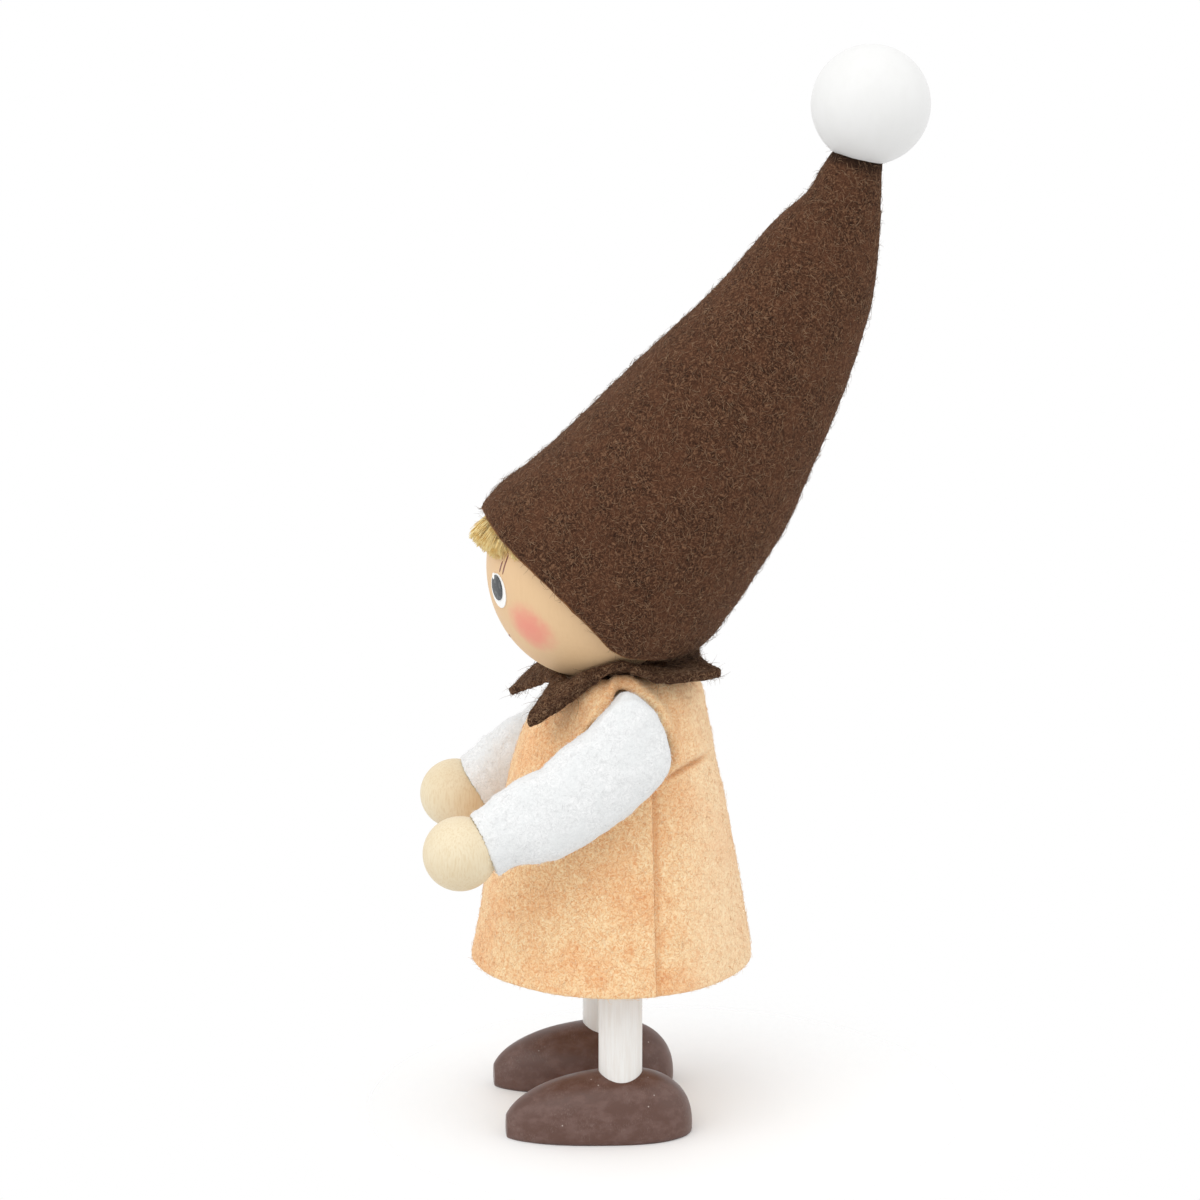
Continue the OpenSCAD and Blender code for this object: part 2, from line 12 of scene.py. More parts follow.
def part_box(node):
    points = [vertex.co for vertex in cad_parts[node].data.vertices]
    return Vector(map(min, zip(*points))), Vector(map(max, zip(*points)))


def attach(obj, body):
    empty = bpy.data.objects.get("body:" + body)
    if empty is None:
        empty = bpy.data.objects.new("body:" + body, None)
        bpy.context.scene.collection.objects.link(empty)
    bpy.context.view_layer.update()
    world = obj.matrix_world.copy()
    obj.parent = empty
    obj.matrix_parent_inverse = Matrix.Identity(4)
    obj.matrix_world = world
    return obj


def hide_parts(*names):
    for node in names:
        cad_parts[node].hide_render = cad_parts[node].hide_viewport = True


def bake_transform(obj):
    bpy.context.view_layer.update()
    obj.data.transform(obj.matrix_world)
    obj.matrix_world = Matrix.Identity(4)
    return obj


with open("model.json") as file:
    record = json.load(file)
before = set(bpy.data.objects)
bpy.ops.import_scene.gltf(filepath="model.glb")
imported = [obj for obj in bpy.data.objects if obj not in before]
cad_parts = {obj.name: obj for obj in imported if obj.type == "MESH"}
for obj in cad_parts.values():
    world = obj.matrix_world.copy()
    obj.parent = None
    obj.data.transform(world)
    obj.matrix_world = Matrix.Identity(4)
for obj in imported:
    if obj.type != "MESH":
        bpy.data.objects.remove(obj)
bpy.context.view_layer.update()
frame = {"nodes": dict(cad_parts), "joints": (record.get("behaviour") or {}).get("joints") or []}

# Sizes are in millimetres about the torso's axis, and the doll faces -Y
MM = 0.001
joints = {j["name"]: j for j in frame["joints"]}
body_y = (Vector(joints["left_shoulder"]["pos_m"]) / MM).y
to_axis = Vector((0, body_y, 0))


def box_mm(name):
    low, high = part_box(name)
    return low / MM - to_axis, high / MM - to_axis


# Head
head_low, head_high = box_mm("head")
head_r = (head_high.x - head_low.x) / 2
chin_drop = 17
head_tilt = math.radians(5)
head_centre = np.array([0, joints["head_turn"]["pos_m"][1] / MM - body_y, head_high.z - head_r])

# Tunic: a flat top round the neck, a round crest, and a straight skirt
felt_t = 1.3
tunic_low, tunic_high = box_mm("tunic_back")
hem_z, hem_r, tunic_top_z = tunic_low.z, tunic_high.x, tunic_high.z
chest_z, chest_r, crest_r = 63.6, 12.8, 9.9
neck_hole_r, neck_hole_y = 7.7, -3
seam_y, lap_step = 4.2, 0.3
slit_half = 0.03
edge_round, slit_round = 0.34, 0.2
crease_y, crease_z, crease_along, crease_up, crease_curl = 7.0, 55.4, 0.93, 0.36, 0.02

# Armholes: round, with a lobe to the back and down, and straight in front along the sleeve.
# The felt stays clear_of_sleeve from the middle along each shoulder's axis
shoulder_r, armhole_gap = 5.9, 0.5
lobe_out, lobe_r = shoulder_r * 0.45, shoulder_r * 0.75
straight_front = 3.8
clear_of_sleeve = 13.95

# Sleeves, legs and collar. bend_half is how far a bend would reach on both sides of the elbow; no bend is
# made
sleeve_depth = 8.2
bend_half = 4.5
leg_x, leg_r = 11.2, 3.27
collar_t = 1.2


# Number helpers
def turns(count):
    """So many angles, evenly round a circle."""
    return np.arange(count) * 2 * math.pi / count


def polar(angle):
    return np.stack([np.cos(angle), np.sin(angle)], -1)


def stack(*columns):
    """Points from their coordinates, each a row of numbers or one number for all."""
    return np.stack(np.broadcast_arrays(*columns), -1)


def length(v):
    return np.linalg.norm(v, axis=-1)


def plan_r(points):
    """How far points lie from the torso's axis."""
    return np.hypot(points[:, 0], points[:, 1])


def strip(value, low, high):
    """Goes smoothly from 0 at low to 1 at high."""
    t = np.clip((np.asarray(value, float) - low) / (high - low), 0, 1)
    return t * t * (3 - 2 * t)


def bell(value, middle, width):
    """1 in the middle, and next to nothing two widths away."""
    return np.exp(-((value - middle) / width) ** 2)


def table(rows, value):
    """Reads a table of (value, result) rows, straight between them."""
    return np.interp(value, *np.array(rows).T)


def unit(v):
    return v / np.maximum(np.linalg.norm(v, axis=-1, keepdims=True), 1e-9)


def spline(rows, t):
    """A smooth curve through the rows of a table, whose first column runs with t."""
    rows = np.asarray(rows, float)
    x, y = rows[:, 0], rows[:, 1:]
    slope = np.gradient(y, x, axis=0)
    t = np.atleast_1d(t)
    i = np.clip(np.searchsorted(x, t) - 1, 0, len(x) - 2)
    h = (x[i + 1] - x[i])[:, None]
    u = ((t - x[i])[:, None]) / h
    return ((2 * u**3 - 3 * u**2 + 1) * y[i] + (u**3 - 2 * u**2 + u) * h * slope[i]
            + (3 * u**2 - 2 * u**3) * y[i + 1] + (u**3 - u**2) * h * slope[i + 1])


def waves(points, size, seed):
    """Smooth noise from -1 to 1 whose lumps are about size across."""
    away = Vector((seed * 17.3, seed * 5.1, seed * 9.7))
    return np.array([noise.noise(Vector(p) / size + away) for p in points])


# Mesh helpers
def to_frame(points):
    """Millimetres about the torso's axis to metres in the frame."""
    return (np.asarray(points, float).reshape(-1, 3) + [0, body_y, 0]) * MM


def new_mesh(name, points, faces, *materials):
    mesh = bpy.data.meshes.new(name)
    mesh.from_pydata(to_frame(points).tolist(), [], [list(map(int, f)) for f in faces])
    mesh.validate()
    mesh.polygons.foreach_set("use_smooth", [True] * len(mesh.polygons))
    for material in materials:
        mesh.materials.append(material)
    piece = bpy.data.objects.new(name, mesh)
    bpy.context.scene.collection.objects.link(piece)
    return piece


def settle(piece, slot, body=None, stands_for=()):
    """Puts a piece on the body that it rides on and hides the solids that it stands for. The slot is not
    used.
    """
    if body:
        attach(piece, body)
    for name in stands_for:
        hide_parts(name)
    return piece


def points_of(piece):
    co = np.zeros(len(piece.data.vertices) * 3)
    piece.data.vertices.foreach_get("co", co)
    return co.reshape(-1, 3) / MM - [0, body_y, 0]


def normals_of(piece):
    normal = np.zeros(len(piece.data.vertices) * 3)
    piece.data.vertex_normals.foreach_get("vector", normal)
    return normal.reshape(-1, 3)


def set_points(piece, points):
    piece.data.vertices.foreach_set("co", to_frame(points).ravel())
    piece.data.update()


def ruffle(piece, *layers):
    """Lumps on a surface, along its normals, in layers of (size, amount, seed)."""
    for size, amount, seed in layers:
        points = points_of(piece)
        set_points(piece, points + normals_of(piece) * (waves(points, size, seed) * amount)[:, None])


def grid_faces(rows, columns, wrap_rows=False):
    """The faces of a grid of points that is closed along its rows."""
    faces = []
    for k in range(rows if wrap_rows else rows - 1):
        for i in range(columns):
            j, l = (i + 1) % columns, (k + 1) % rows
            faces.append((k * columns + i, k * columns + j, l * columns + j, l * columns + i))
    return faces


def capped(rows, columns):
    """The faces of such a grid, with both ends filled."""
    last = (rows - 1) * columns
    return grid_faces(rows, columns) + [list(range(columns))[::-1], list(range(last, last + columns))]


def surface_normals(grid):
    """Normals of a grid of points that is closed along its rows."""
    round_it = np.roll(grid, -1, 1) - np.roll(grid, 1, 1)
    return unit(np.cross(round_it, np.gradient(grid, axis=0)))


def fix_normals(piece):
    """Turns all faces outwards."""
    shape = bmesh.new()
    shape.from_mesh(piece.data)
    bmesh.ops.recalc_face_normals(shape, faces=shape.faces)
    shape.to_mesh(piece.data)
    shape.free()


def apply_modifiers(piece):
    made = bpy.data.meshes.new_from_object(piece.evaluated_get(bpy.context.evaluated_depsgraph_get()))
    old = piece.data
    piece.modifiers.clear()
    piece.data = made
    bpy.data.meshes.remove(old)
    made.polygons.foreach_set("use_smooth", [True] * len(made.polygons))
    made.update()


def remesh(piece, voxel, smooth_steps):
    """Joins what a piece is made of into one closed skin, and softens it."""
    skin = piece.modifiers.new("skin", "REMESH")
    skin.mode, skin.voxel_size, skin.use_smooth_shade = "VOXEL", voxel * MM, True
    soften = piece.modifiers.new("soften", "SMOOTH")
    soften.factor, soften.iterations = 0.5, smooth_steps
    apply_modifiers(piece)


def strands(name, paths, radii, sides, material):
    """Many thin closed tubes in one mesh. Both paths and radii are strands by points."""
    paths = np.asarray(paths, float)
    count, steps = paths.shape[:2]
    along = unit(np.gradient(paths, axis=1))
    helper = np.where(np.abs(along[:, :1, 2:]) > 0.9, [[[1.0, 0, 0]]], [[[0, 0, 1.0]]])
    side = unit(np.cross(along, np.broadcast_to(helper, along.shape)))
    other = np.cross(along, side)
    angle = turns(sides)[:, None]
    ring = side[:, :, None] * np.cos(angle) + other[:, :, None] * np.sin(angle)
    points = paths[:, :, None] + ring * np.asarray(radii)[:, :, None, None]
    k, i = np.meshgrid(np.arange(steps - 1), np.arange(sides), indexing="ij")
    j = (i + 1) % sides
    walls = stack(k * sides + i, k * sides + j, (k + 1) * sides + j, (k + 1) * sides + i)
    base = np.arange(count) * steps * sides
    faces = (walls.reshape(-1, 4)[None] + base[:, None, None]).reshape(-1, 4).tolist()
    start, end = np.arange(sides)[::-1], np.arange(sides) + (steps - 1) * sides
    for b in base:
        faces += [(start + b).tolist(), (end + b).tolist()]
    return new_mesh(name, points.reshape(-1, 3), faces, material)


def fuzz(name, piece, count, longest, radius, material, seed, keep=None):
    """Loose fibres on a felt piece, each rooted in its surface and lying along it."""
    steps, root_depth = 5, 0.06
    dice = np.random.default_rng(seed)
    mesh = piece.data
    mesh.calc_loop_triangles()
    corner = np.zeros(len(mesh.loop_triangles) * 3, int)
    mesh.loop_triangles.foreach_get("vertices", corner)
    corner = corner.reshape(-1, 3)
    points, normals = points_of(piece), normals_of(piece)
    a, b, c = (points[corner[:, i]] for i in range(3))
    area = length(np.cross(b - a, c - a))
    if keep:
        area = area * keep((a + b + c) / 3, normals[corner[:, 0]])
    pick = dice.choice(len(area), count, p=area / area.sum())
    u, v = dice.random((2, count))
    u, v = np.where(u + v > 1, 1 - u, u), np.where(u + v > 1, 1 - v, v)
    root = a[pick] + (b - a)[pick] * u[:, None] + (c - a)[pick] * v[:, None]
    normal = unit(normals[corner[pick, 0]])
    flat = unit(np.cross(normal, unit(dice.normal(size=(count, 3)))))
    turn = np.cross(normal, flat)
    s = np.linspace(0, 1, steps)[None, :, None]
    size = (dice.uniform(0.4, 1, count) ** 1.5 * longest)[:, None, None]
    rise = dice.uniform(0.15, 0.7, count)[:, None, None]
    curl = dice.uniform(-0.9, 0.9, count)[:, None, None]
    path = (root[:, None] - root_depth * normal[:, None] + flat[:, None] * size * s
            + normal[:, None] * size * rise * (s - 0.55 * s * s) + turn[:, None] * size * curl * s * s)
    thin = radius * dice.uniform(0.6, 1.2, count)[:, None] * np.linspace(1, 0.25, steps)[None]
    return strands(name, path, thin, 3, material)


# Materials. Colours are written from 0 to 255 as seen
def linear(colour):
    """A written colour in linear light. Anything else stays as it is."""
    if not isinstance(colour, tuple):
        return colour
    seen = (c / 255 for c in colour)
    return (*(c / 12.92 if c <= 0.04045 else ((c + 0.055) / 1.055) ** 2.4 for c in seen), 1)


class Nodes:
    """The nodes of a material or of the world. Each call adds some and returns what they give."""

    def __init__(self, owner):
        owner.use_nodes = True
        self.owner, self.tree = owner, owner.node_tree
        self.tree.nodes.clear()

    def add(self, kind, inputs=None, **settings):
        made = self.tree.nodes.new("ShaderNode" + kind)
        for key, value in settings.items():
            setattr(made, key, value)
        for key, value in (inputs or {}).items():
            if isinstance(value, bpy.types.NodeSocket):
                self.tree.links.new(value, made.inputs[key])
            else:
                made.inputs[key].default_value = value
        return made.outputs

    def calc(self, how, *values):
        return self.add("Math", dict(enumerate(values)), operation=how)[0]

    def times(self, *values):
        result = values[0]
        for value in values[1:]:
            result = self.calc("MULTIPLY", result, value)
        return result

    def vector(self, how, *values):
        made = self.add("VectorMath", dict(enumerate(values)), operation=how)
        return made["Value" if how in ("DOT_PRODUCT", "LENGTH", "DISTANCE") else "Vector"]

    def join(self, *parts):
        return self.add("CombineXYZ", dict(enumerate(parts)))[0]

    def place(self, stretch=(1, 1, 1)):
        """Where a point is on the piece, in millimetres, stretched for grain."""
        return self.vector("MULTIPLY", self.add("TexCoord")["Object"], tuple(1 / MM / s for s in stretch))

    def lumps(self, place, size, detail=2.0, roughness=0.5, distortion=0.0, give="Fac"):
        """Noise whose lumps are about size across."""
        return self.add("TexNoise", {"Vector": place, "Scale": 1 / size, "Detail": detail,
                                     "Roughness": roughness, "Distortion": distortion})[give]

    def ramp(self, value, *stops):
        outputs = self.add("ValToRGB", {"Fac": value})
        band = outputs[0].node.color_ramp
        while len(band.elements) < len(stops):
            band.elements.new(0.5)
        for element, (at, colour) in zip(band.elements, stops):
            element.position, element.color = at, linear(colour)
        return outputs["Color"]

    def mix(self, share, first, second, how="MIX"):
        inputs = {0: share, 6: linear(first), 7: linear(second)}
        return self.add("Mix", inputs, data_type="RGBA", blend_type=how)[2]

    def span(self, value, low, high, to_low=0.0, to_high=1.0):
        """Goes smoothly from to_low at low to to_high at high."""
        inputs = {"Value": value, "From Min": low, "From Max": high, "To Min": to_low, "To Max": to_high}
        return self.add("MapRange", inputs, interpolation_type="SMOOTHSTEP")["Result"]

    def line(self, value, at, half, share):
        """A soft line where the value is near to at."""
        return self.span(self.calc("ABSOLUTE", self.calc("ADD", value, -at)), 0.1, half, share, 0.0)

    def finish(self, colour, roughness, specular=0.5, bumps=(), **more):
        """The shader, with a chain of bumps: (height, depth in millimetres, strength)."""
        inputs = {"Base Color": colour, "Roughness": roughness, "Specular IOR Level": specular, **more}
        for height, depth, strength in bumps:
            feed = {"Height": height, "Distance": depth * MM, "Strength": strength}
            if "Normal" in inputs:
                feed["Normal"] = inputs["Normal"]
            inputs["Normal"] = self.add("Bump", feed)["Normal"]
        self.add("OutputMaterial", {"Surface": self.add("BsdfPrincipled", inputs)[0]})
        return self.owner


def new_material(name):
    return Nodes(bpy.data.materials.new(name))


def tunic_painted_light(m, place, colour, dark):
    """Painted light and painted shade: creamier at the back as painted light from behind, and painted shade
    in the side seams, round the armholes and in the crease.
    """
    x, y, z = m.add("SeparateXYZ", {0: place})
    y, side = m.calc("ADD", y, -body_y), m.calc("ABSOLUTE", x)
    # Painted light: the felt is made creamier towards the back.
    colour = m.mix(m.span(y, 5.5, 15, 0.0, 0.35), colour, (250, 229, 195))
    # Painted shade along the groove of the side seams.
    groove = m.line(y, seam_y + 0.45, 0.65, 0.42)
    colour = m.mix(m.times(groove, m.span(z, 52, 55, 1.0, 0.0), m.span(z, 28, 50, 0.5, 1.0)), colour, dark)
    # Height and depth from the shoulder's axis, across the arm's upright plane
    upright, shoulder_z = (-0.213, 0, 0.977), 59
    high = m.calc("ADD", m.vector("DOT_PRODUCT", m.join(side, y, z), upright), -upright[2] * shoulder_z)
    reach = m.vector("LENGTH", m.join(y, high))
    # Painted shade in a ring round each armhole.
    colour = m.mix(m.times(m.line(reach, 8.3, 1.2, 0.22), m.span(side, 5, 8)), colour, dark)
    # Painted shade along the crease from the armhole to the back.
    y = m.calc("ADD", y, -crease_y)
    turned = m.join(y, z, m.times(y, y))
    ahead = m.vector("DOT_PRODUCT", turned, (-crease_up, crease_along, crease_curl))
    across = m.vector("DOT_PRODUCT", turned, (crease_along, crease_up, 0))
    low = crease_up * crease_z
    fold = m.times(m.line(ahead, crease_along * crease_z - 0.25, 0.75, 0.6), m.span(across, low - 2, low),
                   m.span(across, low + 4, low + 7.5, 1.0, 0.0), m.span(x, 2, 4))
    return m.mix(fold, colour, dark)


def felt_material(name, dark, middle, light, warm, warm_share, sheen, sheen_tint, depth, painted_shade=None, tip=None):
    """Wool felt: matted curly fibres in a few shades over small dark pits, cloudy at a larger scale."""
    m = new_material(name)
    place = m.place()
    swirl = m.vector("SUBTRACT", m.lumps(place, 1.1, 2, give="Color"), (0.5, 0.5, 0.5))
    bent = m.vector("MULTIPLY_ADD", swirl, (1.5, 1.5, 1.5), place)
    fibre, pits = m.lumps(bent, 0.3, 3, 0.6), m.lumps(bent, 0.5, 3, 0.6, 0.8)
    cloud, patch = m.lumps(place, 9 if painted_shade else 4.5, 3, 0.6), m.lumps(place, 1.8, 2)
    colour = m.ramp(fibre, (0.32, dark), (0.5, middle), (0.7, light))
    colour = m.mix(m.span(pits, 0.33, 0.5, 0.7, 0.0), colour, dark)
    how = "MULTIPLY" if painted_shade else "MIX"
    colour = m.mix(m.span(cloud, 0.42, 0.62, 0.0, warm_share), colour, warm, how)
    colour = m.mix(m.span(patch, 0.45, 0.75, 0.0, warm_share * 0.6), colour, warm, how)
    # The tunic gets painted light at its back, and painted shade in the dark colour that it is given.
    if painted_shade:
        colour = tunic_painted_light(m, place, colour, painted_shade)
    # Painted shade: the felt darkens near the bead, where the bead shades the cap's tip.
    if tip:
        centre, radius = tip
        away = m.vector("DISTANCE", place, centre)
        colour = m.mix(m.span(away, radius + 0.3, radius + 2.4, 0.85, 0.0), colour, (26, 16, 11))
    return m.finish(colour, 0.95, 0.12, [(pits, depth, 0.9), (fibre, depth * 0.6, 0.9)],
                    **{"Sheen Weight": sheen, "Sheen Roughness": 0.5, "Sheen Tint": linear(sheen_tint)})


def fibre_material(name, first, second):
    m = new_material(name)
    return m.finish(m.ramp(m.lumps(m.place(), 0.9, 1), (0.35, first), (0.65, second)), 0.7, 0.2)


def wood_material(name, pale, grain, stretch, grain_size, grain_share, roughness):
    """Turned or sanded wood with fine grain along its long side."""
    m = new_material(name)
    lines, cloud = m.lumps(m.place(stretch), grain_size, 4, 0.6, 0.4), m.lumps(m.place(), 9, 2)
    colour = m.mix(m.span(lines, 0.42, 0.68, 0.0, grain_share), pale, grain)
    colour = m.mix(m.span(cloud, 0.4, 0.7, 0.0, grain_share * 0.6), colour, grain)
    return m.finish(colour, roughness, 0.4, [(lines, 0.03, 0.4)])


def paint_material(name, colour, wear_and_sheen, roughness, streak=(1, 1, 1), share=0.5, speck=None):
    """Paint or lacquer with faint streaks of a second colour, which is real streaks and wear, and on the
    shoes also painted sheen; and a few light specks and scuffs where the paint is rubbed.
    """
    m = new_material(name)
    streaks, fine = m.lumps(m.place(streak), 1.6, 4, 0.6), m.lumps(m.place(), 0.45, 4, 0.65)
    # Mottling in the second colour: real streaks and wear, and on the shoes also painted sheen.
    shade = m.mix(m.span(streaks, 0.4, 0.68, 0.0, share), colour, wear_and_sheen)
    if speck:
        cells = m.add("TexVoronoi", {"Vector": m.place(), "Scale": 0.9, "Randomness": 1.0})
        few = m.span(m.add("SeparateColor", {"Color": cells["Color"]})[0], 0.9, 0.93)
        spots = m.times(m.span(cells["Distance"], 0.06, 0.13, 0.8, 0.0), few)
        scuff = m.times(m.span(m.lumps(m.place((1, 0.5, 1)), 0.35, 3, 0.7), 0.5, 0.72),
                        m.span(m.lumps(m.place(), 4, 2), 0.42, 0.62, 0.0, 0.12))
        shade = m.mix(spots, m.mix(scuff, shade, speck), speck)
    gloss = m.span(streaks, 0.35, 0.7, roughness - 0.08, roughness + 0.1)
    return m.finish(shade, gloss, 0.45, [(fine, 0.03, 0.35), (streaks, 0.05, 0.25)])


def plain_paint(name, colour, roughness):
    m = new_material(name)
    grain = m.lumps(m.place(), 0.6, 3)
    return m.finish(m.mix(m.span(grain, 0.4, 0.8, 0.0, 0.12), colour, (255, 255, 255)), roughness,
                    bumps=[(grain, 0.01, 0.3)])


bead_low, bead_high = (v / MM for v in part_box("bead"))
bead_ball = tuple((bead_low + bead_high) / 2), (bead_high.x - bead_low.x) / 2
# The cap's felt has painted shade just below the bead.
brown_felt = felt_material("brown_felt", (34, 19, 12), (79, 51, 36), (134, 101, 76), (94, 60, 42),
                           0.35, 0.12, (190, 140, 100), 0.22, tip=bead_ball)
collar_brown = felt_material("collar_brown", (27, 16, 10), (88, 60, 43), (160, 130, 100), (50, 31, 21),
                             0.5, 0.12, (190, 140, 100), 0.24)
brown_edge = felt_material("brown_felt_edge", (80, 50, 30), (120, 80, 50), (150, 112, 76), (130, 84, 48),
                           0.5, 0.15, (200, 150, 100), 0.12)
# The tunic's last colour is the painted shade for its side seams, armholes and crease.
peach_felt = felt_material("peach_felt", (226, 168, 118), (246, 211, 163), (253, 232, 194), (248, 224, 208),
                           0.6, 0.3, (255, 236, 206), 0.15, painted_shade=(206, 138, 84))
white_felt = felt_material("white_felt", (218, 219, 219), (233, 234, 234), (244, 244, 244), (229, 231, 231),
                           0.6, 0.12, (255, 255, 255), 0.08)
brown_fibre = fibre_material("brown_fibre", (92, 64, 47), (164, 134, 106))
peach_fibre = fibre_material("peach_fibre", (232, 182, 134), (252, 232, 198))
white_fibre = fibre_material("white_fibre", (232, 232, 232), (248, 248, 248))
hair_fibre = fibre_material("hair_fibre", (228, 194, 122), (250, 232, 176))
hand_wood = wood_material("hand_wood", (231, 217, 187), (212, 186, 144), (0.5, 0.5, 4), 0.5, 0.45, 0.5)
plain_wood = wood_material("plain_wood", (226, 200, 160), (190, 154, 108), (0.6, 0.6, 6), 0.6, 0.7, 0.65)
white_paint = paint_material("white_paint", (238, 237, 234), (226, 220, 213), 0.45, (0.4, 0.4, 5))
bead_paint = paint_material("bead_paint", (229, 229, 228), (224, 224, 222), 0.45, (1.5, 1.5, 3), 0.3)
# The shoes' lighter mottling is partly wear and partly painted sheen.
shoe_paint = paint_material("shoe_paint", (90, 61, 51), (116, 90, 83), 0.42, (1, 1.6, 1), 0.55,
                            speck=(190, 176, 168))
wire_steel = paint_material("wire_steel", (170, 170, 174), (140, 140, 146), 0.4)
eye_white = plain_paint("eye_white", (247, 247, 245), 0.35)
eye_dark = plain_paint("eye_dark", (40, 43, 46), 0.3)
line_brown = plain_paint("line_brown", (120, 60, 46), 0.5)
line_red = plain_paint("line_red", (150, 96, 78), 0.5)


# Head and face
def direction(azimuth, elevation):
    """A direction, in degrees: azimuth from the front towards the doll's left, and elevation."""
    a, e = math.radians(azimuth), math.radians(elevation)
    return np.array([math.sin(a) * math.cos(e), -math.cos(a) * math.cos(e), math.sin(e)])


def egg_point(azimuth, elevation, grow=0.0):
    """A point on the head, or that far above it."""
    way = direction(azimuth, elevation)
    c, s = math.cos(head_tilt), math.sin(head_tilt)
    turned = np.array([way[0], c * way[1] - s * way[2], s * way[1] + c * way[2]])
    tall = head_r if turned[2] >= 0 else chin_drop
    reach = 1 / math.sqrt((turned[0] ** 2 + turned[1] ** 2) / head_r**2 + turned[2] ** 2 / tall**2)
    return head_centre + way * (reach + grow)


def head_material():
    """Pale turned wood with soft red cheeks, each rubbed on in two places that overlap."""
    cheeks = direction(41.5, -25), direction(46.5, -30.5)
    cheek_edge, cheek_full = math.cos(math.radians(16)) + 0.01, 1.012
    m = new_material("face_wood")
    lines, cloud = m.lumps(m.place((0.7, 0.7, 7)), 0.7, 4, 0.6, 0.3), m.lumps(m.place(), 8, 2)
    colour = m.mix(m.span(lines, 0.42, 0.7, 0.0, 0.12), (226, 191, 148), (210, 172, 126))
    colour = m.mix(m.span(cloud, 0.4, 0.7, 0.0, 0.4), colour, (222, 188, 146))
    where = m.vector("SUBTRACT", m.add("TexCoord")["Object"], tuple(to_frame(head_centre)[0]))
    x, y, z = m.add("SeparateXYZ", {0: m.vector("NORMALIZE", where)})
    where = m.join(m.calc("ABSOLUTE", x), y, z)
    rub = m.lumps(m.place(), 1.4, 3)
    bare = 1.0
    for cheek in cheeks:
        near = m.calc("MULTIPLY_ADD", rub, 0.02, m.vector("DOT_PRODUCT", where, tuple(cheek)))
        patch = m.calc("POWER", m.span(near, cheek_edge, cheek_full, 0.0, 0.8), 1.5)
        bare = m.times(bare, m.calc("SUBTRACT", 1.0, patch))
    colour = m.mix(m.calc("SUBTRACT", 1.0, bare), colour, (232, 144, 126))
    return m.finish(colour, 0.5, 0.4, [(lines, 0.01, 0.25), (cloud, 0.05, 0.2)])


def stroke(name, path, width, grow, material):
    """A painted line on the head through (azimuth, elevation) points, thinner at its ends."""
    steps = 24
    line = spline([(i, *p) for i, p in enumerate(path)], np.linspace(0, len(path) - 1, steps))
    middle = np.array([egg_point(a, e) for a, e in line])
    out = unit(middle - head_centre)
    side = unit(np.cross(out, unit(np.gradient(middle, axis=0))))
    half = width / 2 * np.clip(np.sin(np.linspace(0.06, 0.94, steps) * math.pi) * 1.6, 0.15, 1)
    section = [(math.cos(b), grow * (math.sin(b) + 0.05)) for b in np.linspace(0, math.pi, 5)]
    section += [(-0.9, -0.1), (0.9, -0.1)]
    points = [middle[k] + side[k] * half[k] * across + out[k] * rise
              for k in range(steps) for across, rise in section]
    settle(new_mesh(name, points, capped(steps, len(section)), material), "dark_paint", "head")


def eye_light(name, azimuth, elevation):
    """A raised drop of white paint on a pupil."""
    width, height, below, above = 0.85, 1.1, 0.24, 0.06
    rings, sides = 7, 24
    centre = egg_point(azimuth, elevation)
    out = unit(centre - head_centre)
    right = unit(np.cross([0, 0, 1.0], out))
    a = turns(sides)[:, None]
    oval = (right * width * np.cos(a) + np.cross(out, right) * height * np.sin(a)) / 2
    rows = []
    for k in range(rings):
        share = min(1, math.sin(math.pi / 2 * (k + 0.5) / (rings - 0.5)))
        rows.append(centre + oval * share + out * (below + above * math.sqrt(1 - share**2)))
    rows.append(centre + oval - out * 0.05)
    faces = [f[::-1] for f in capped(rings + 1, sides)]
    settle(new_mesh(name, np.concatenate(rows), faces, eye_white), "white_paint", "head")


def dress(name, material):
    piece = frame["nodes"][name]
    piece.data.materials.clear()
    piece.data.materials.append(material)
    piece.data.polygons.foreach_set("use_smooth", [True] * len(piece.data.polygons))


def make_face():
    dress("head", head_material())
    lashes = {"inner": [(24.1, 1.3), (25.3, 4.6), (26.7, 7.7)],
              "outer": [(27.3, 0.6), (29, 5.6), (31.3, 11.7)]}
    for side, word in ((1, "left"), (-1, "right")):
        dress(word + "_eye_white", eye_white)
        dress(word + "_pupil", eye_dark)
        eye_light(word + "_eye_light", side * 18.6, -2.0)
        for place, path in lashes.items():
            stroke(f"{word}_lash_{place}", [(side * a, e) for a, e in path], 0.3, 0.05, line_brown)
    smile = [(-12.5, -37.5), (-8, -39.6), (0, -40.6), (8, -39.6), (12.5, -37.5)]
    stroke("mouth", smile, 0.5, 0.04, line_red)


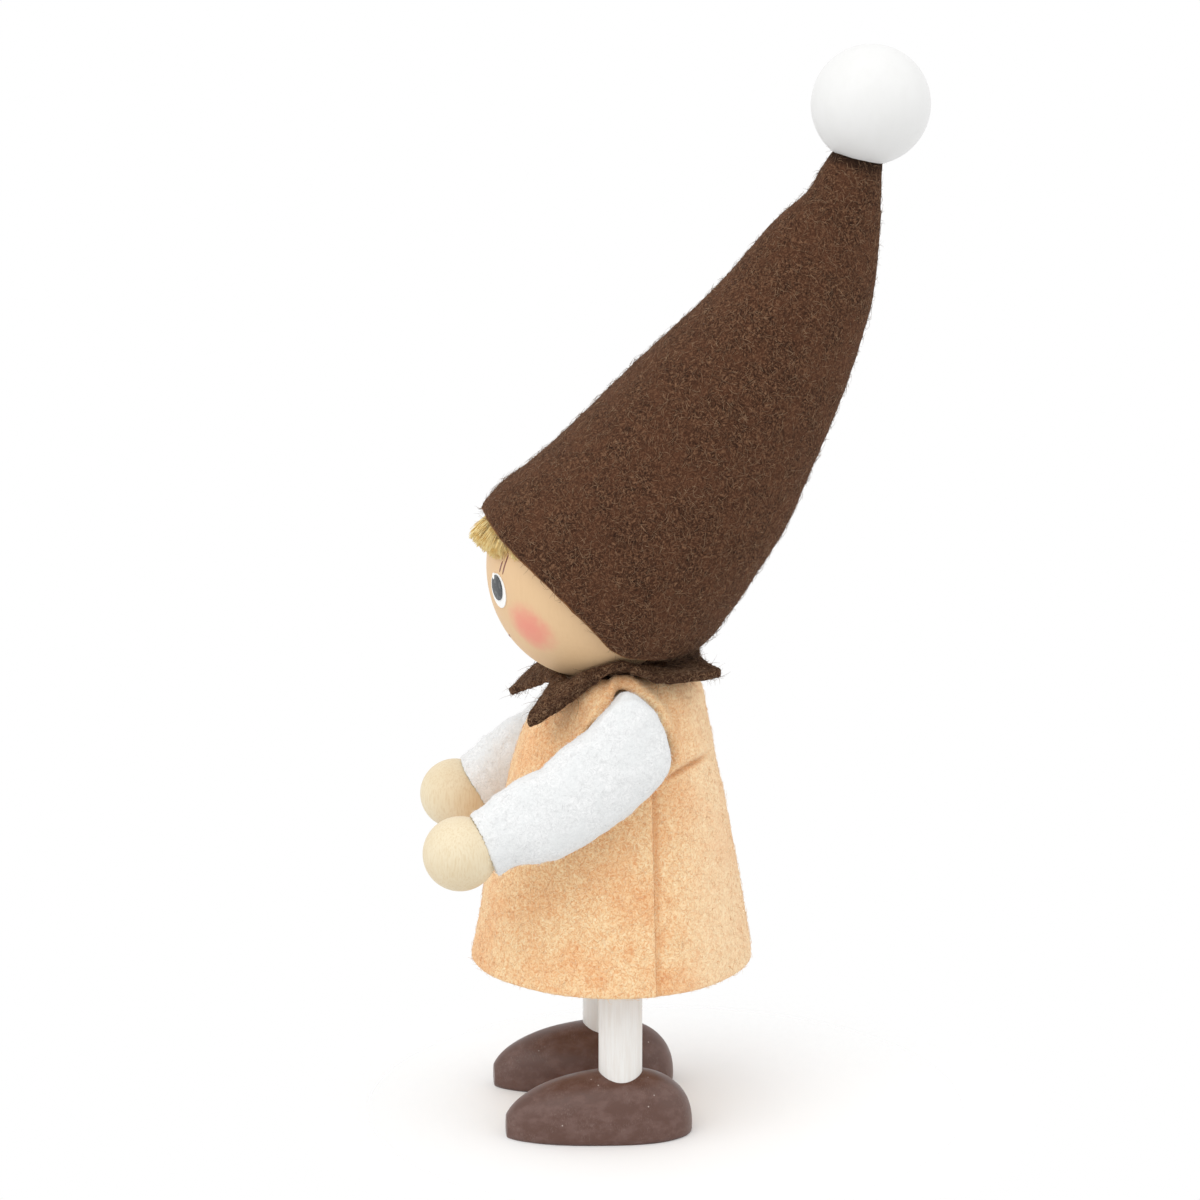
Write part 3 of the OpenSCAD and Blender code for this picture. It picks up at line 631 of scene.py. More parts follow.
# Cap: its brow, nape and tip about the head's centre, and how its sides bend, by the share of its length
brow_angle, brow_reach = math.radians(27.8), head_r + felt_t + 1.65
nape_angle, nape_reach = math.radians(41), head_r + felt_t + 4.2
tip_angle, tip_reach = math.radians(56.7), 70.9
tip_lean, tip_r = math.radians(12.6), 3.55
ear_w, ear_dip = head_r + 0.3 + felt_t, 6.2
fuller_share = 0.16
rim_in, rim_in_share = 0.3, 0.02
nape_tuck, tuck_share = 0.8, 0.09
lift_share = 0.13
FRONT_LINE = [(0, 0), (0.06, 0.003), (0.13, -0.006), (0.2, -0.013), (0.4, -0.016), (0.6, -0.023),
              (0.7, -0.0225), (0.78, -0.0135), (0.845, -0.0115), (0.9, -0.0165), (0.93, -0.012),
              (0.965, -0.001), (1, 0.004)]
BACK_LINE = [(0, 0), (0.04, 0.017), (0.08, 0.023), (0.14, 0.037), (0.21, 0.053), (0.27, 0.068),
             (0.34, 0.075), (0.5, 0.0825), (0.58, 0.0865), (0.65, 0.084), (0.77, 0.071), (0.82, 0.058),
             (0.88, 0.042), (1, 0)]
SIDE_WIDTH = [(0, 0.98), (0.08, 1.02), (0.2, 1.02), (0.35, 0.9), (0.5, 0.76), (0.75, 0.48), (1, 0.19)]
# How far the cap's lower edge is lifted at an angle from the brow (0) to the nape (180)
RIM_LIFT = [(0, 0), (20, 0.05), (30, 0.2), (40, 0.8), (50, 1.5), (60, 1.95), (70, 2.15), (80, 1.9), (87, 1.2),
            (94, 0.25), (102, 0.1), (110, 0.6), (120, 1.05), (130, 1.3), (140, 1.4), (150, 1.4), (160, 1.1),
            (170, 0.75), (180, 0.6)]


def cap_outline(t):
    """The cap's front and back points in its middle plane, about the head's centre, as (y, z)."""
    tip = tip_reach * polar(tip_angle)
    half = tip_r * polar(-tip_lean)
    brow = brow_reach * polar(math.pi - brow_angle)
    nape = nape_reach * polar(-nape_angle)
    ends = []
    for start, end, rows, side in ((brow, tip - half, FRONT_LINE, 1), (nape, tip + half, BACK_LINE, -1)):
        line = end - start
        across = np.array([-line[1], line[0]]) * side
        ends.append(start + line * t + across * float(spline(rows, t)[0, 0]))
    return ends


def cap_grid(rows, columns):
    """The cap's outer surface, in rows from its lower edge to its tip, each from the brow round and back."""
    u = turns(columns)
    turn = np.degrees(np.minimum(u, 2 * math.pi - u))
    lift, tuck = table(RIM_LIFT, turn), nape_tuck * strip(turn, 130, 165)
    grid = []
    for t in np.linspace(0, 1, rows):
        front, back = cap_outline(t)
        half, middle = (front - back) / 2, (front + back) / 2
        long = np.linalg.norm(half)
        rim = rim_in * max(0, 1 - t / rim_in_share) ** 2
        c = np.cos(u) * (long - rim) / long
        wide = ear_w * float(spline(SIDE_WIDTH, t)[0, 0]) * (1 + fuller_share * np.cos(u)) - rim
        y = middle[0] + half[0] * c - tuck * max(0, 1 - t / tuck_share) ** 1.5
        drop = ear_dip * (1 - t) ** 3 * np.sin(u) ** 2
        z = middle[1] + half[1] * c - drop + lift * max(0, 1 - t / lift_share) ** 1.5
        grid.append(stack(wide * np.sin(u), y, z))
    return np.array(grid) + head_centre


def make_cap():
    """The cap as one closed sheet of felt with round edges, and a groove where it is sewn at the back."""
    rows, columns = 120, 144
    thickness, edge = felt_t - 0.1, 0.4
    back = columns // 2
    grid = cap_grid(rows, columns)
    out = surface_normals(grid)
    seam_out = out[:, back]
    groove = 0.35 * bell(length(grid - grid[:, back:back + 1]), 0, 0.5)
    grid = grid - out * groove[..., None]
    out = surface_normals(grid)
    inner = grid - out * thickness

    def round_edge(k, beyond):
        middle = (grid[k] + inner[k]) / 2
        bends = [math.radians(b) for b in (30, 60, 90, 120, 150)]
        return [middle + out[k] * thickness / 2 * math.cos(b) + beyond * edge * math.sin(b) for b in bends]

    last, first = round_edge(-1, unit(grid[-1] - grid[-2])), round_edge(0, unit(grid[0] - grid[1]))
    sheet = list(grid) + last + list(inner[::-1]) + first[::-1]
    faces = grid_faces(len(sheet), columns, wrap_rows=True)
    cap = new_mesh("cap_felt", np.concatenate(sheet), faces, brown_felt, brown_edge)
    for polygon in cap.data.polygons:
        row = polygon.index // columns
        if rows - 1 <= row <= rows + 4 or row >= len(sheet) - 6:
            polygon.material_index = 1
    ruffle(cap, (9, 0.16, 3), (2.4, 0.1, 4), (0.9, 0.06, 5))
    settle(cap, "brown_felt", "head", ["cap"])
    girth = length(grid[0] - np.roll(grid[0], 1, 0)).sum() * MM
    area = length(np.cross(grid[1:] - grid[:-1], (np.roll(grid, -1, 1) - grid)[:-1])).sum() * MM * MM
    make_cap_seam(grid[:, back], seam_out)
    return cap


def make_cap_seam(line, out):
    """Small stitches over the joint at the back of the cap."""
    way = np.concatenate([[0], np.cumsum(length(line[1:] - line[:-1]))])
    pitch, reach, slant, steps, thread_r = 2.9, 0.85, 0.45, 9, 0.13

    def along(values, place):
        return np.array([np.interp(place, way, values[:, i]) for i in range(3)])

    s = np.linspace(-1, 1, steps)[:, None]
    paths = []
    for place in np.arange(1.5, way[-1] - 2, pitch):
        at, up = along(line, place), unit(along(out, place))
        ahead = unit(along(line, place + 0.5) - at)
        side = np.cross(up, ahead)
        paths.append(at + side * s * reach + ahead * s * slant + up * (0.28 - 0.75 * s**4))
    stitches = strands("cap_seam_stitches", paths, np.full((len(paths), steps), thread_r), 6, brown_fibre)
    settle(stitches, "brown_felt", "head")


# Tunic
def tunic_profile():
    """The tunic's outer profile from axis to hem: way along it, radius, height, normal and chart radius."""
    bend = np.radians(np.linspace(90, 0, 40)[1:])
    t = np.linspace(0, 1, 60)[1:]
    r = np.concatenate([np.linspace(0.5, crest_r, 60), crest_r + (chest_r - crest_r) * np.cos(bend),
                        chest_r + (hem_r - chest_r) * t])
    z = np.concatenate([np.full(60, tunic_top_z), chest_z + (tunic_top_z - chest_z) * np.sin(bend),
                        chest_z + (hem_z - chest_z) * t])
    step = np.hypot(np.diff(r), np.diff(z))
    s = np.concatenate([[0], np.cumsum(step)])
    dr, dz = np.gradient(r, s), np.gradient(z, s)
    steep = np.hypot(dr, dz)
    chart = r[0] * np.exp(np.concatenate([[0], np.cumsum(step * 2 / (r[1:] + r[:-1]))]))
    return s, r, z, -dz / steep, dr / steep, chart


profile_s, profile_r, profile_z, profile_out, profile_up, profile_chart = tunic_profile()


def on_tunic(phi, s):
    """Points and normals of the plain tunic at azimuths from +X and ways along the profile."""
    x, y = np.cos(phi), np.sin(phi)
    columns = profile_r, profile_z, profile_out, profile_up
    radius, height, out, up = (np.interp(s, profile_s, column) for column in columns)
    return stack(x * radius, y * radius, height), unit(stack(x * out, y * out, up))


def lay(chart):
    """Flat points' azimuths, ways along the profile, places, normals and distances from the felt's border."""
    s = np.interp(np.log(plan_r(chart)), np.log(profile_chart), profile_s)
    phi = np.arctan2(chart[:, 1], chart[:, 0])
    surface, normal = on_tunic(phi, s)
    return phi, s, surface, normal, border_reach(s, surface)


def plan_to_chart(plan):
    radius = plan_r(plan)
    return plan * (np.exp(np.interp(radius, profile_r, np.log(profile_chart))) / radius)[:, None]


class Arm:
    """The frame of one arm: out along the shoulder's axis, front across it and up the hanging arm."""

    def __init__(self, word):
        self.word = word
        shoulder, elbow = (Vector(joints[f"{word}_{j}"]["pos_m"]) / MM for j in ("shoulder", "elbow"))
        self.pivot, self.elbow = np.array(shoulder - to_axis), np.array(elbow - to_axis)
        axis = np.array(joints[f"{word}_shoulder"]["axis"])
        self.out = unit(axis * (1 if axis[0] * self.elbow[0] > 0 else -1))
        self.depth = float((self.elbow - self.pivot) @ self.out)
        self.up = -unit(self.elbow - self.pivot - self.out * self.depth)
        front = np.cross(self.out, self.up)
        self.front = front if front[1] < 0 else -front
        self.upright = unit(np.cross(self.out, [0, 1.0, 0])) * (1 if self.out[0] > 0 else -1)
        low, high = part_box(word + "_hand")
        self.hand = np.array((low + high) / 2) / MM - [0, body_y, 0]

    def points(self, local):
        return self.pivot + np.asarray(local, float) @ np.array([self.out, self.front, self.up])

    def local(self, points):
        rel = points - self.pivot
        return stack(rel @ self.out, rel @ self.front, rel @ self.up)

    def across(self, points):
        """How far out points lie, and their offsets from the shoulder's axis."""
        rel = points - self.pivot
        d = rel @ self.out
        return d, rel - d[:, None] * self.out


ARMS = [Arm("left"), Arm("right")]


def armhole_radius(arm, y, w):
    """An armhole's radius towards (y, w), in the upright plane across its axis."""
    size = np.maximum(np.hypot(y, w), 1e-6)
    toward = (y * arm.front[1] + w * (arm.front @ arm.upright)) / size
    above = (y * arm.up[1] + w * (arm.up @ arm.upright)) / size
    rear, top = strip((0.8 * y + 0.6 * w) / size, 0.3, 0.95), strip((0.99 * w - 0.15 * y) / size, 0.85, 1.0)
    full = shoulder_r + armhole_gap - 0.72 * rear + 0.45 * top
    straight = straight_front + 1.0 * strip(above, 0.45, 0.7)
    return (full**-12.0 + (straight / np.maximum(toward, 0.02)) ** -12.0) ** (-1 / 12)


def armhole_reach(points):
    """How far points lie outside the armholes, negative inside them."""
    best = np.full(len(points), 1e3)
    for arm in ARMS:
        d, plane = arm.across(points)
        w, y = plane @ arm.upright, plane[:, 1]
        main = np.hypot(y, w) - armhole_radius(arm, y, w)
        lobe = np.hypot(y - lobe_out, w + lobe_out) - lobe_r
        best = np.where(d > 0, np.minimum(best, np.minimum(main, lobe)), best)
    return best


def border_reach(s, points):
    """How far points lie from the nearest border of the felt, negative where it is cut away."""
    hem = profile_s[-1] - s
    neck = np.hypot(points[:, 0], points[:, 1] - neck_hole_y) - neck_hole_r
    low = max(arm.pivot[2] for arm in ARMS)
    slit = np.where(points[:, 2] < low, np.abs(points[:, 1] - seam_y) - slit_half, 1e3)
    return np.minimum(np.minimum(hem, neck), np.minimum(armhole_reach(points), slit))


def armhole_loop(arm, grow, count=150):
    """Plan points of an armhole's border, moved outwards by grow."""
    found = []
    for way in polar(turns(count)):
        reach = armhole_radius(arm, way[0], way[1]) + grow
        along = way @ np.array([lobe_out, -lobe_out])
        off = (lobe_r + grow) ** 2 - (2 * lobe_out * lobe_out - along**2)
        if off > 0:
            reach = max(reach, along + math.sqrt(off))
        base = arm.pivot + np.array([0, 1.0, 0]) * way[0] * reach + arm.upright * way[1] * reach
        near, far = 2.0, 26.0
        for _ in range(40):
            middle = (near + far) / 2
            p = base + arm.out * middle
            inside = p[2] < np.interp(math.hypot(p[0], p[1]), profile_r, profile_z)
            near, far = (middle, far) if inside else (near, middle)
        found.append((base + arm.out * near)[:2])
    return np.array(found)


def tunic_layout():
    """Points and triangles of the tunic, laid out flat, without its holes and side slits."""
    gaps = 0.07, 0.2, 0.42
    circle = polar(turns(360))

    def borders(gap):
        """The hem, the neck, the armholes and the slits in plan, moved into the felt by a gap."""
        hem = min(hem_r * 0.99999, np.interp(profile_s[-1] - gap, profile_s, profile_r))
        lines = [circle * hem, circle * (neck_hole_r + gap) + [0, neck_hole_y]]
        lines += [armhole_loop(arm, gap) for arm in ARMS]
        for side in (-1, 1):
            for y in (seam_y - slit_half - gap, seam_y + slit_half + gap):
                x = np.linspace(13.0, math.sqrt(hem_r**2 * 0.9999 - y * y), 90)
                lines.append(stack(side * x, y))
        return lines

    points, edges = [], []
    loops = 4
    for k, plan in enumerate(borders(0)):
        first, count = sum(map(len, points)), len(plan)
        points.append(plan_to_chart(plan))
        edges += [(first + i, first + (i + 1) % count) for i in range(count if k < loops else count - 1)]
    rows = [(gap, plan) for gap in gaps for plan in borders(gap)]
    columns, first_r = 210, 4.4
    step = 2 * math.pi / columns
    for k, level in enumerate(np.arange(math.log(first_r), math.log(profile_chart[-1]), step * 0.87)):
        a = (np.arange(columns) + 0.5 * (k % 2)) * step
        phi, s, *_ = lay(polar(a) * math.exp(level))
        rows.append((gaps[-1] + 0.18, polar(phi) * np.interp(s, profile_s, profile_r)[:, None]))
    for gap, plan in rows:
        chart = plan_to_chart(plan)
        points.append(chart[lay(chart)[-1] > gap - 0.015])
    made = delaunay_2d_cdt([Vector(p) for p in np.concatenate(points)], edges, [], 0, 1e-5)
    chart = np.array([tuple(p) for p in made[0]])
    triangles = np.array([f for f in made[2] if len(f) == 3])
    triangles = triangles[lay(chart[triangles].mean(1))[-1] > -0.004]
    used = np.unique(triangles)
    remap = np.full(len(chart), -1)
    remap[used] = np.arange(len(used))
    return chart[used], remap[triangles]


# How full the back is, and how far the neckline is drawn in and down at the front, by height
BACK_BULGE = [(24, -0.1), (27, 0.2), (36, 0.55), (44, 0.9), (50, 0.95), (54, 0.85), (59, 1.05), (64, 1.0),
              (68, 0.5), (68.5, 0.2)]
NECK_IN = [(54, 0), (58, 0.35), (60.5, 0.95), (62, 1.65), (63.5, 2.45), (65, 3.1), (69, 3.4)]
NECK_DOWN = [(59, 0), (62, 0.25), (65, 1.2), (68.4, 2.1)]


def draw_in(points):
    """The felt lies closer at the front of the neck than its plain shape."""
    azimuth = np.arctan2(points[:, 1], points[:, 0])
    share = strip(-np.sin(azimuth), 0.35, 0.95)
    radius = plan_r(points)
    least_r = 8.6
    fit = np.maximum(radius - table(NECK_IN, points[:, 2]) * share, np.minimum(radius, least_r))
    down = table(NECK_DOWN, points[:, 2]) * share
    return stack(np.cos(azimuth) * fit, np.sin(azimuth) * fit, points[:, 2] - down)


def tunic_drape(points, phi, s):
    """How far the felt stands off its plain shape."""
    x, y, z = points.T
    back, hole = np.sin(phi), armhole_reach(points)
    lapped = lap_step * np.where(z < 58, 1 - strip(y, seam_y - 0.001, seam_y + 0.001), 1 - strip(y, 0, 6))
    full = table(BACK_BULGE, z) * strip(back, 0.25, 0.9) + 0.45 * bell(z, 38, 5) * strip(-back, 0.2, 0.9)
    roll = (0.6 * bell(hole, 0.85, 0.75) - 0.22 * bell(hole, 2.5, 0.8)) * strip(z, 53, 58) * (x * x > 36)
    for arm in ARMS:
        _, f, u = arm.local(points).T
        roll = roll + 0.35 * bell(f, straight_front + 0.9, 0.9) * bell(u, 0, 4.5) * (x * arm.out[0] > 6)
    strap = 0.9 * bell(y, 0.3, 4.2) * strip(plan_r(points), 8.4, 10.3)
    strap = strap * strip(hole, -0.5, 1.9) * strip(z, 58, 64)
    lap = (0.2 * bell(y, seam_y - 0.6, 0.7) - 0.35 * bell(y, seam_y + 0.5, 0.55)) * (1 - strip(z, 52, 56))
    # The crease runs up from the armhole to the back, with a ridge over it
    py, pz = y - crease_y, z - crease_z
    ahead = crease_along * pz - crease_up * py + crease_curl * py * py
    across = crease_along * py + crease_up * pz
    fold = bell(ahead, -0.25, 0.4) * strip(across, -2.0, 0.5) * (1 - strip(across, 3.5, 7.5))
    ridge = bell(ahead, 1.1, 0.9) * strip(across, -2.5, 0) * (1 - strip(across, 4, 8))
    crease = (0.6 * ridge - 0.75 * fold) * (x > 0)
    sway = 0.3 * waves(stack(np.cos(phi) * 5, back * 5, 0), 2.6, 11) * strip(s, 20, 60)
    rough = 0.1 * waves(points, 5.5, 12) + 0.05 * waves(points, 1.7, 13)
    return lapped + full + roll + strap + lap + crease + sway + rough


def make_tunic():
    """Both panels as one sheet of felt: two skins over the flat layout, joined by walls round its borders."""
    chart, triangles = tunic_layout()
    phi, s, surface, normal, edge = lay(chart)
    edge = np.maximum(edge, 0)
    at_slit = (surface[:, 2] < 58) & (np.abs(np.abs(surface[:, 1] - seam_y) - slit_half - edge) < 0.02)
    bend = np.where(at_slit, slit_round, edge_round)
    inset = np.where(edge < bend, bend - np.sqrt(np.maximum(bend**2 - (bend - edge) ** 2, 0)), 0)
    stand = tunic_drape(surface, phi, s)
    uneven = 0.28 * waves(stack(np.cos(phi) * 9, np.sin(phi) * 9, 0), 6, 14)
    surface[:, 2] += (uneven + 0.25 * strip(-np.sin(phi), 0.5, 1)) * strip(s, 45, 56)
    skins = []
    for height in (stand - inset, stand - felt_t + inset):
        skin = surface + normal * height[:, None]
        for arm in ARMS:
            inside = -np.minimum(armhole_reach(skin), 0)
            d, plane = arm.across(skin)
            near = (d > 0) & (inside > 0) & (edge < 3)
            skin[near] += unit(plane[near]) * inside[near][:, None]
        skins.append(draw_in(skin))
    soft = 0.15
    for arm in ARMS:
        over = soft * np.log1p(np.exp((arm.local(skins[0])[:, 0] - clear_of_sleeve) / soft))
        for skin in skins:
            skin -= arm.out * over[:, None]
    count = len(chart)
    a, b, c = (chart[triangles[:, i]] for i in range(3))
    turn = (b - a)[:, 0] * (c - a)[:, 1] - (b - a)[:, 1] * (c - a)[:, 0]
    triangles = np.where((turn > 0)[:, None], triangles, triangles[:, ::-1])
    edges = {(t[i], t[(i + 1) % 3]): True for t in triangles for i in range(3)}
    faces = triangles.tolist() + (triangles[:, ::-1] + count).tolist()
    faces += [(b, a, a + count, b + count) for a, b in edges if (b, a) not in edges]
    tunic = new_mesh("tunic_felt", np.concatenate(skins), faces, peach_felt)
    settle(tunic, "peach_felt", "root", ["tunic_front", "tunic_back"])
    a, b, c = (surface[triangles[:, i]] for i in range(3))
    return tunic


# Collar: its outer edge as (azimuth from +X, radius, height of the underside)
COLLAR_NEAR = [
    (-90, 8.84, 66.75), (-77, 9.1, 66.5), (-67, 10.0, 66.3), (-56, 12.6, 65.6), (-51, 15.6, 64.4),
    (-47.2, 18.75, 62.9), (-41.4, 17.05, 64.0), (-37, 15.78, 65.15), (-31.6, 14.44, 66.4), (-25, 13.3, 67.8),
    (-17, 12.35, 69.2), (-10, 12.0, 70.25), (-4, 11.95, 70.9), (3, 12.0, 71.0), (8.5, 12.4, 70.5),
    (14, 13.0, 69.8), (21.6, 14.0, 69.1), (30, 15.4, 69.15), (38.4, 16.85, 69.35), (46.3, 18.25, 69.4),
    (50.7, 18.65, 69.4), (53.5, 18.2, 69.4), (60, 16.1, 69.35), (73, 13.8, 69.1), (90, 12.9, 69.0),
]
COLLAR_FAR = [(-102, 10.0, 66.0), (-112, 11.6, 64.9), (-124, 14.6, 63.5), (-131, 18.3, 61.8),
              (-133.5, 18.8, 61.5), (-138.6, 17.8, 63.4), (-143.5, 16.9, 65.0), (-149, 15.4, 66.4)]


def collar_edge():
    """The collar's whole outer edge: the far side mirrors the near one, but for its front point."""
    rows = COLLAR_NEAR + COLLAR_FAR
    for azimuth, radius, height in COLLAR_NEAR[1:-1]:
        mirrored = (180 - azimuth + 180) % 360 - 180
        if not -151 < mirrored < -90:
            rows.append((mirrored, radius, height))
    rows = np.array(sorted(rows))
    return np.concatenate([rows[-3:] - [360, 0, 0], rows, rows[:3] + [360, 0, 0]])


def make_collar():
    """The collar lies over the crest of the tunic's neck, its front lower, and falls to its edge."""
    columns, rows = 480, 34
    azimuths = np.arange(columns) * 360 / columns - 180
    edge_rows = collar_edge()
    edge, edge_z = (np.interp(azimuths, edge_rows[:, 0], edge_rows[:, i]) for i in (1, 2))
    for _ in range(4):
        edge, edge_z = ((np.roll(v, 1) + v * 2 + np.roll(v, -1)) / 4 for v in (edge, edge_z))
    a = np.radians(azimuths)
    ahead, side = strip(-np.sin(a), 0.3, 0.9), bell(np.abs(np.cos(a)), 1, 0.2)
    hole = neck_hole_y * np.sin(a) + np.sqrt(neck_hole_r**2 - (neck_hole_y * np.cos(a)) ** 2) - 2.6 * ahead
    crest_at = np.minimum(9.8 - 1.3 * ahead, edge - 0.3)
    hole_z, crest_z = 68.45 - 1.25 * ahead, 68.55 + 1.3 * side - 1.25 * ahead
    bottom = []
    for t in np.linspace(0, 1, rows):
        r = hole + (edge - hole) * t
        beyond = np.clip((r - crest_at) / (edge - crest_at), 0, 1) ** (1 + 0.55 * ahead)
        z = hole_z + (crest_z - hole_z) * strip(r, hole - 0.5, crest_at) + (edge_z - crest_z) * beyond
        z = z + 0.45 * side * bell(r, 10.8, 0.9)
        points = stack(r * np.cos(a), r * np.sin(a), z)
        points[:, 2] += 0.02 + np.abs(0.16 * waves(points, 3.2, 21) * strip(r, 9.5, 12))
        bottom.append(points)
    bottom = np.array(bottom)
    up = surface_normals(bottom)
    up = unit(up * np.sign(up[..., 2:]) + np.array([0, 0, 0.8]))
    for _ in range(3):
        up = unit((np.roll(up, 1, 1) + up + np.roll(up, -1, 1)) / 3)
    thick = collar_t * (0.5 + 0.5 * np.minimum(1, np.linspace(0, 1, rows) / 0.35))
    top = bottom + up * thick[:, None, None]
    middle, half, beyond = (top[-1] + bottom[-1]) / 2, (top[-1] - bottom[-1]) / 2, unit(top[-1] - top[-2])
    bends = [math.radians(b) for b in (70, 45, 20, 0, -20, -45, -70)]
    rim = [middle + half * math.sin(b) + beyond * 0.3 * math.cos(b) for b in bends]
    sheet = [*top[:-1], *rim, *bottom[-2::-1]]
    faces = grid_faces(len(sheet), columns, wrap_rows=True)
    collar = new_mesh("collar_felt", np.concatenate(sheet), faces, collar_brown)
    fix_normals(collar)
    ruffle(collar, (1.4, 0.2, 22), (0.6, 0.05, 23))
    settle(collar, "brown_felt", "root", ["collar"])
    return collar


# Sleeves, one piece of felt for each arm: sections down the arm, each as its front and back point (front, up)
SLEEVE_LINES = [
    (4.4, 2.6, 1.75, 5.3), (4.4, -0.3, -1.3, 5.2), (4.9, -3.67, -4.8, 3.55), (5.75, -7.3, -7.62, 1.0),
    (5.95, -10.2, -8.56, -1.66), (6.15, -11.8, -8.21, -6.32), (6.95, -13.3, -7.12, -11.65),
    (7.75, -15.1, -5.79, -15.98), (8.2, -17.14, -4.26, -19.94), (8.65, -18.93, -2.46, -22.27),
    (8.97, -21.46, -0.44, -24.51), (9.63, -23.42, 0.65, -27.47),
]
sleeve_sides = 64


def sleeve_section(arm, front, back, wide):
    middle, half = (front + back) / 2, (front - back) / 2
    c, s = polar(turns(sleeve_sides)).T
    flat = middle + half * c[:, None]
    return arm.points(stack(arm.depth + wide * np.sign(s) * np.abs(s) ** 0.85, flat[:, 0], flat[:, 1]))


def shoulder_drum(arm):
    """The sleeve's round head: a flange behind the felt, a neck and a crown that is straight in front."""
    flange, crown, wide, sides = 10.35, 14.35, shoulder_r + 0.3, 96
    neck_r, round_r = 3.4, 2.5
    end = arm.depth + sleeve_depth / 2 - 1.0
    rows = [(0.01, flange), (5.4, flange), (5.65, flange + 0.2), (5.65, flange + 0.5), (5.4, flange + 0.7),
            (neck_r, flange + 0.8), (neck_r, crown - 0.1), (wide - 0.5, crown), (wide - 0.1, crown + 0.25),
            (wide, crown + 0.7)]
    rows += [(wide, d) for d in np.linspace(crown + 1.2, end - round_r, 8)]
    corner = np.array([wide, end]) - round_r
    rows += [corner + round_r * polar(math.radians(b)) for b in range(10, 91, 10)]
    rows.append((0.01, end))
    a = turns(sides)
    fit = (5.35 + 0.85 * strip(np.cos(a - math.radians(40)), 0.8, 1.0)) / wide
    rings = []
    for r, d in rows:
        in_crown = d > crown - 0.2
        out = r * fit if in_crown else np.full(sides, r)
        front = np.minimum(out * np.cos(a), straight_front + 0.5 if in_crown else 9)
        rings.append(arm.points(stack(d, front, out * np.sin(a))))
    return np.concatenate(rings), capped(len(rings), sides)


def make_sleeve(arm):
    """A round top, the sections down the arm and a cuff, joined with the drum into one skin."""
    lines, half = np.array(SLEEVE_LINES), sleeve_depth / 2
    index = np.arange(len(lines))
    dense = spline(np.column_stack([index, lines]), np.linspace(0, len(lines) - 1, 67))
    top, first, last = np.array([3.1, 4.5]), dense[0], dense[-1]
    rings = []
    for share in (0.08, 0.35, 0.62, 0.85):
        lift = np.array([0.35, 0.45]) * (1 - share)
        ends = (top + (v - top) * share + lift for v in (first[:2], first[2:]))
        rings.append(sleeve_section(arm, *ends, half * math.sqrt(share) * 0.85))
    for k, line in enumerate(dense):
        rings.append(sleeve_section(arm, line[:2], line[2:], half * (0.85 + 0.15 * min(1, k / 8))))
    middle = (last[:2] + last[2:]) / 2
    for share in (0.97, 0.9):
        ends = (middle + (v - middle) * share + [0.03, -0.06] for v in (last[:2], last[2:]))
        rings.append(sleeve_section(arm, *ends, half * share))
    points, (drum, drum_faces) = np.concatenate(rings), shoulder_drum(arm)
    faces = capped(len(rings), sleeve_sides) + [[i + len(points) for i in f] for f in drum_faces]
    sleeve = new_mesh(arm.word + "_sleeve_felt", np.concatenate([points, drum]), faces, white_felt)
    fix_normals(sleeve)
    remesh(sleeve, 0.32, 4)
    ruffle(sleeve, (5.0, 0.22, 31), (1.7, 0.12, 32), (0.7, 0.05, 33))
    clear_hand(arm, sleeve)
    return settle(sleeve, "white_felt", None, [arm.word + "_upper_sleeve", arm.word + "_forearm_sleeve"])


def clear_hand(arm, sleeve):
    """Lets the cuff end on the hand's flat, with its rim just round it."""
    hand_r, flat = 5.4, 3.9
    axis = unit(arm.hand - arm.elbow)
    points = points_of(sleeve)
    rel = points - arm.hand
    back = -(rel @ axis)
    reach = length(rel + back[:, None] * axis)
    ball = np.sqrt(np.maximum((hand_r + 0.12) ** 2 - np.minimum(back, flat) ** 2, 0))
    inside = (back < flat + 0.05) & (reach < ball)
    points[inside] += axis * -(flat + 0.08 - back[inside])[:, None]
    set_points(sleeve, points)


def blend_sleeve(arm, sleeve):
    """Works out where a bend about the elbow would start and end, but does not bend the sleeve: it only bakes
    its placing into its points.
    """
    elbow = arm.elbow + [0, body_y, 0]
    high = arm.points([arm.depth, 0, 0])
    way = unit(unit(arm.elbow - high) + unit(arm.hand - arm.elbow))
    start, end = (elbow - way * bend_half) * MM, (elbow + way * bend_half) * MM
    tuple(start)
    tuple(end)
    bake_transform(sleeve)


# Shoes
shoe_w, shoe_h, shoe_axis_z, sole_round = 13.2, 9.8, 1.3, 0.4
toe_len, toe_cut, heel_len, shoe_back, heel_power = 18.1, 0.5, 10.3, 0.5, 2.25
leg_foot_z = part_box("left_leg")[0].z / MM


def shoe_share(y):
    """How wide and tall the shoe is at a place along it, as a share of its widest."""
    if y < 0:
        return math.sqrt(max(0, 1 - (y / toe_len) ** 2))
    return max(0, 1 - (y / heel_len) ** heel_power) ** (1 / heel_power)


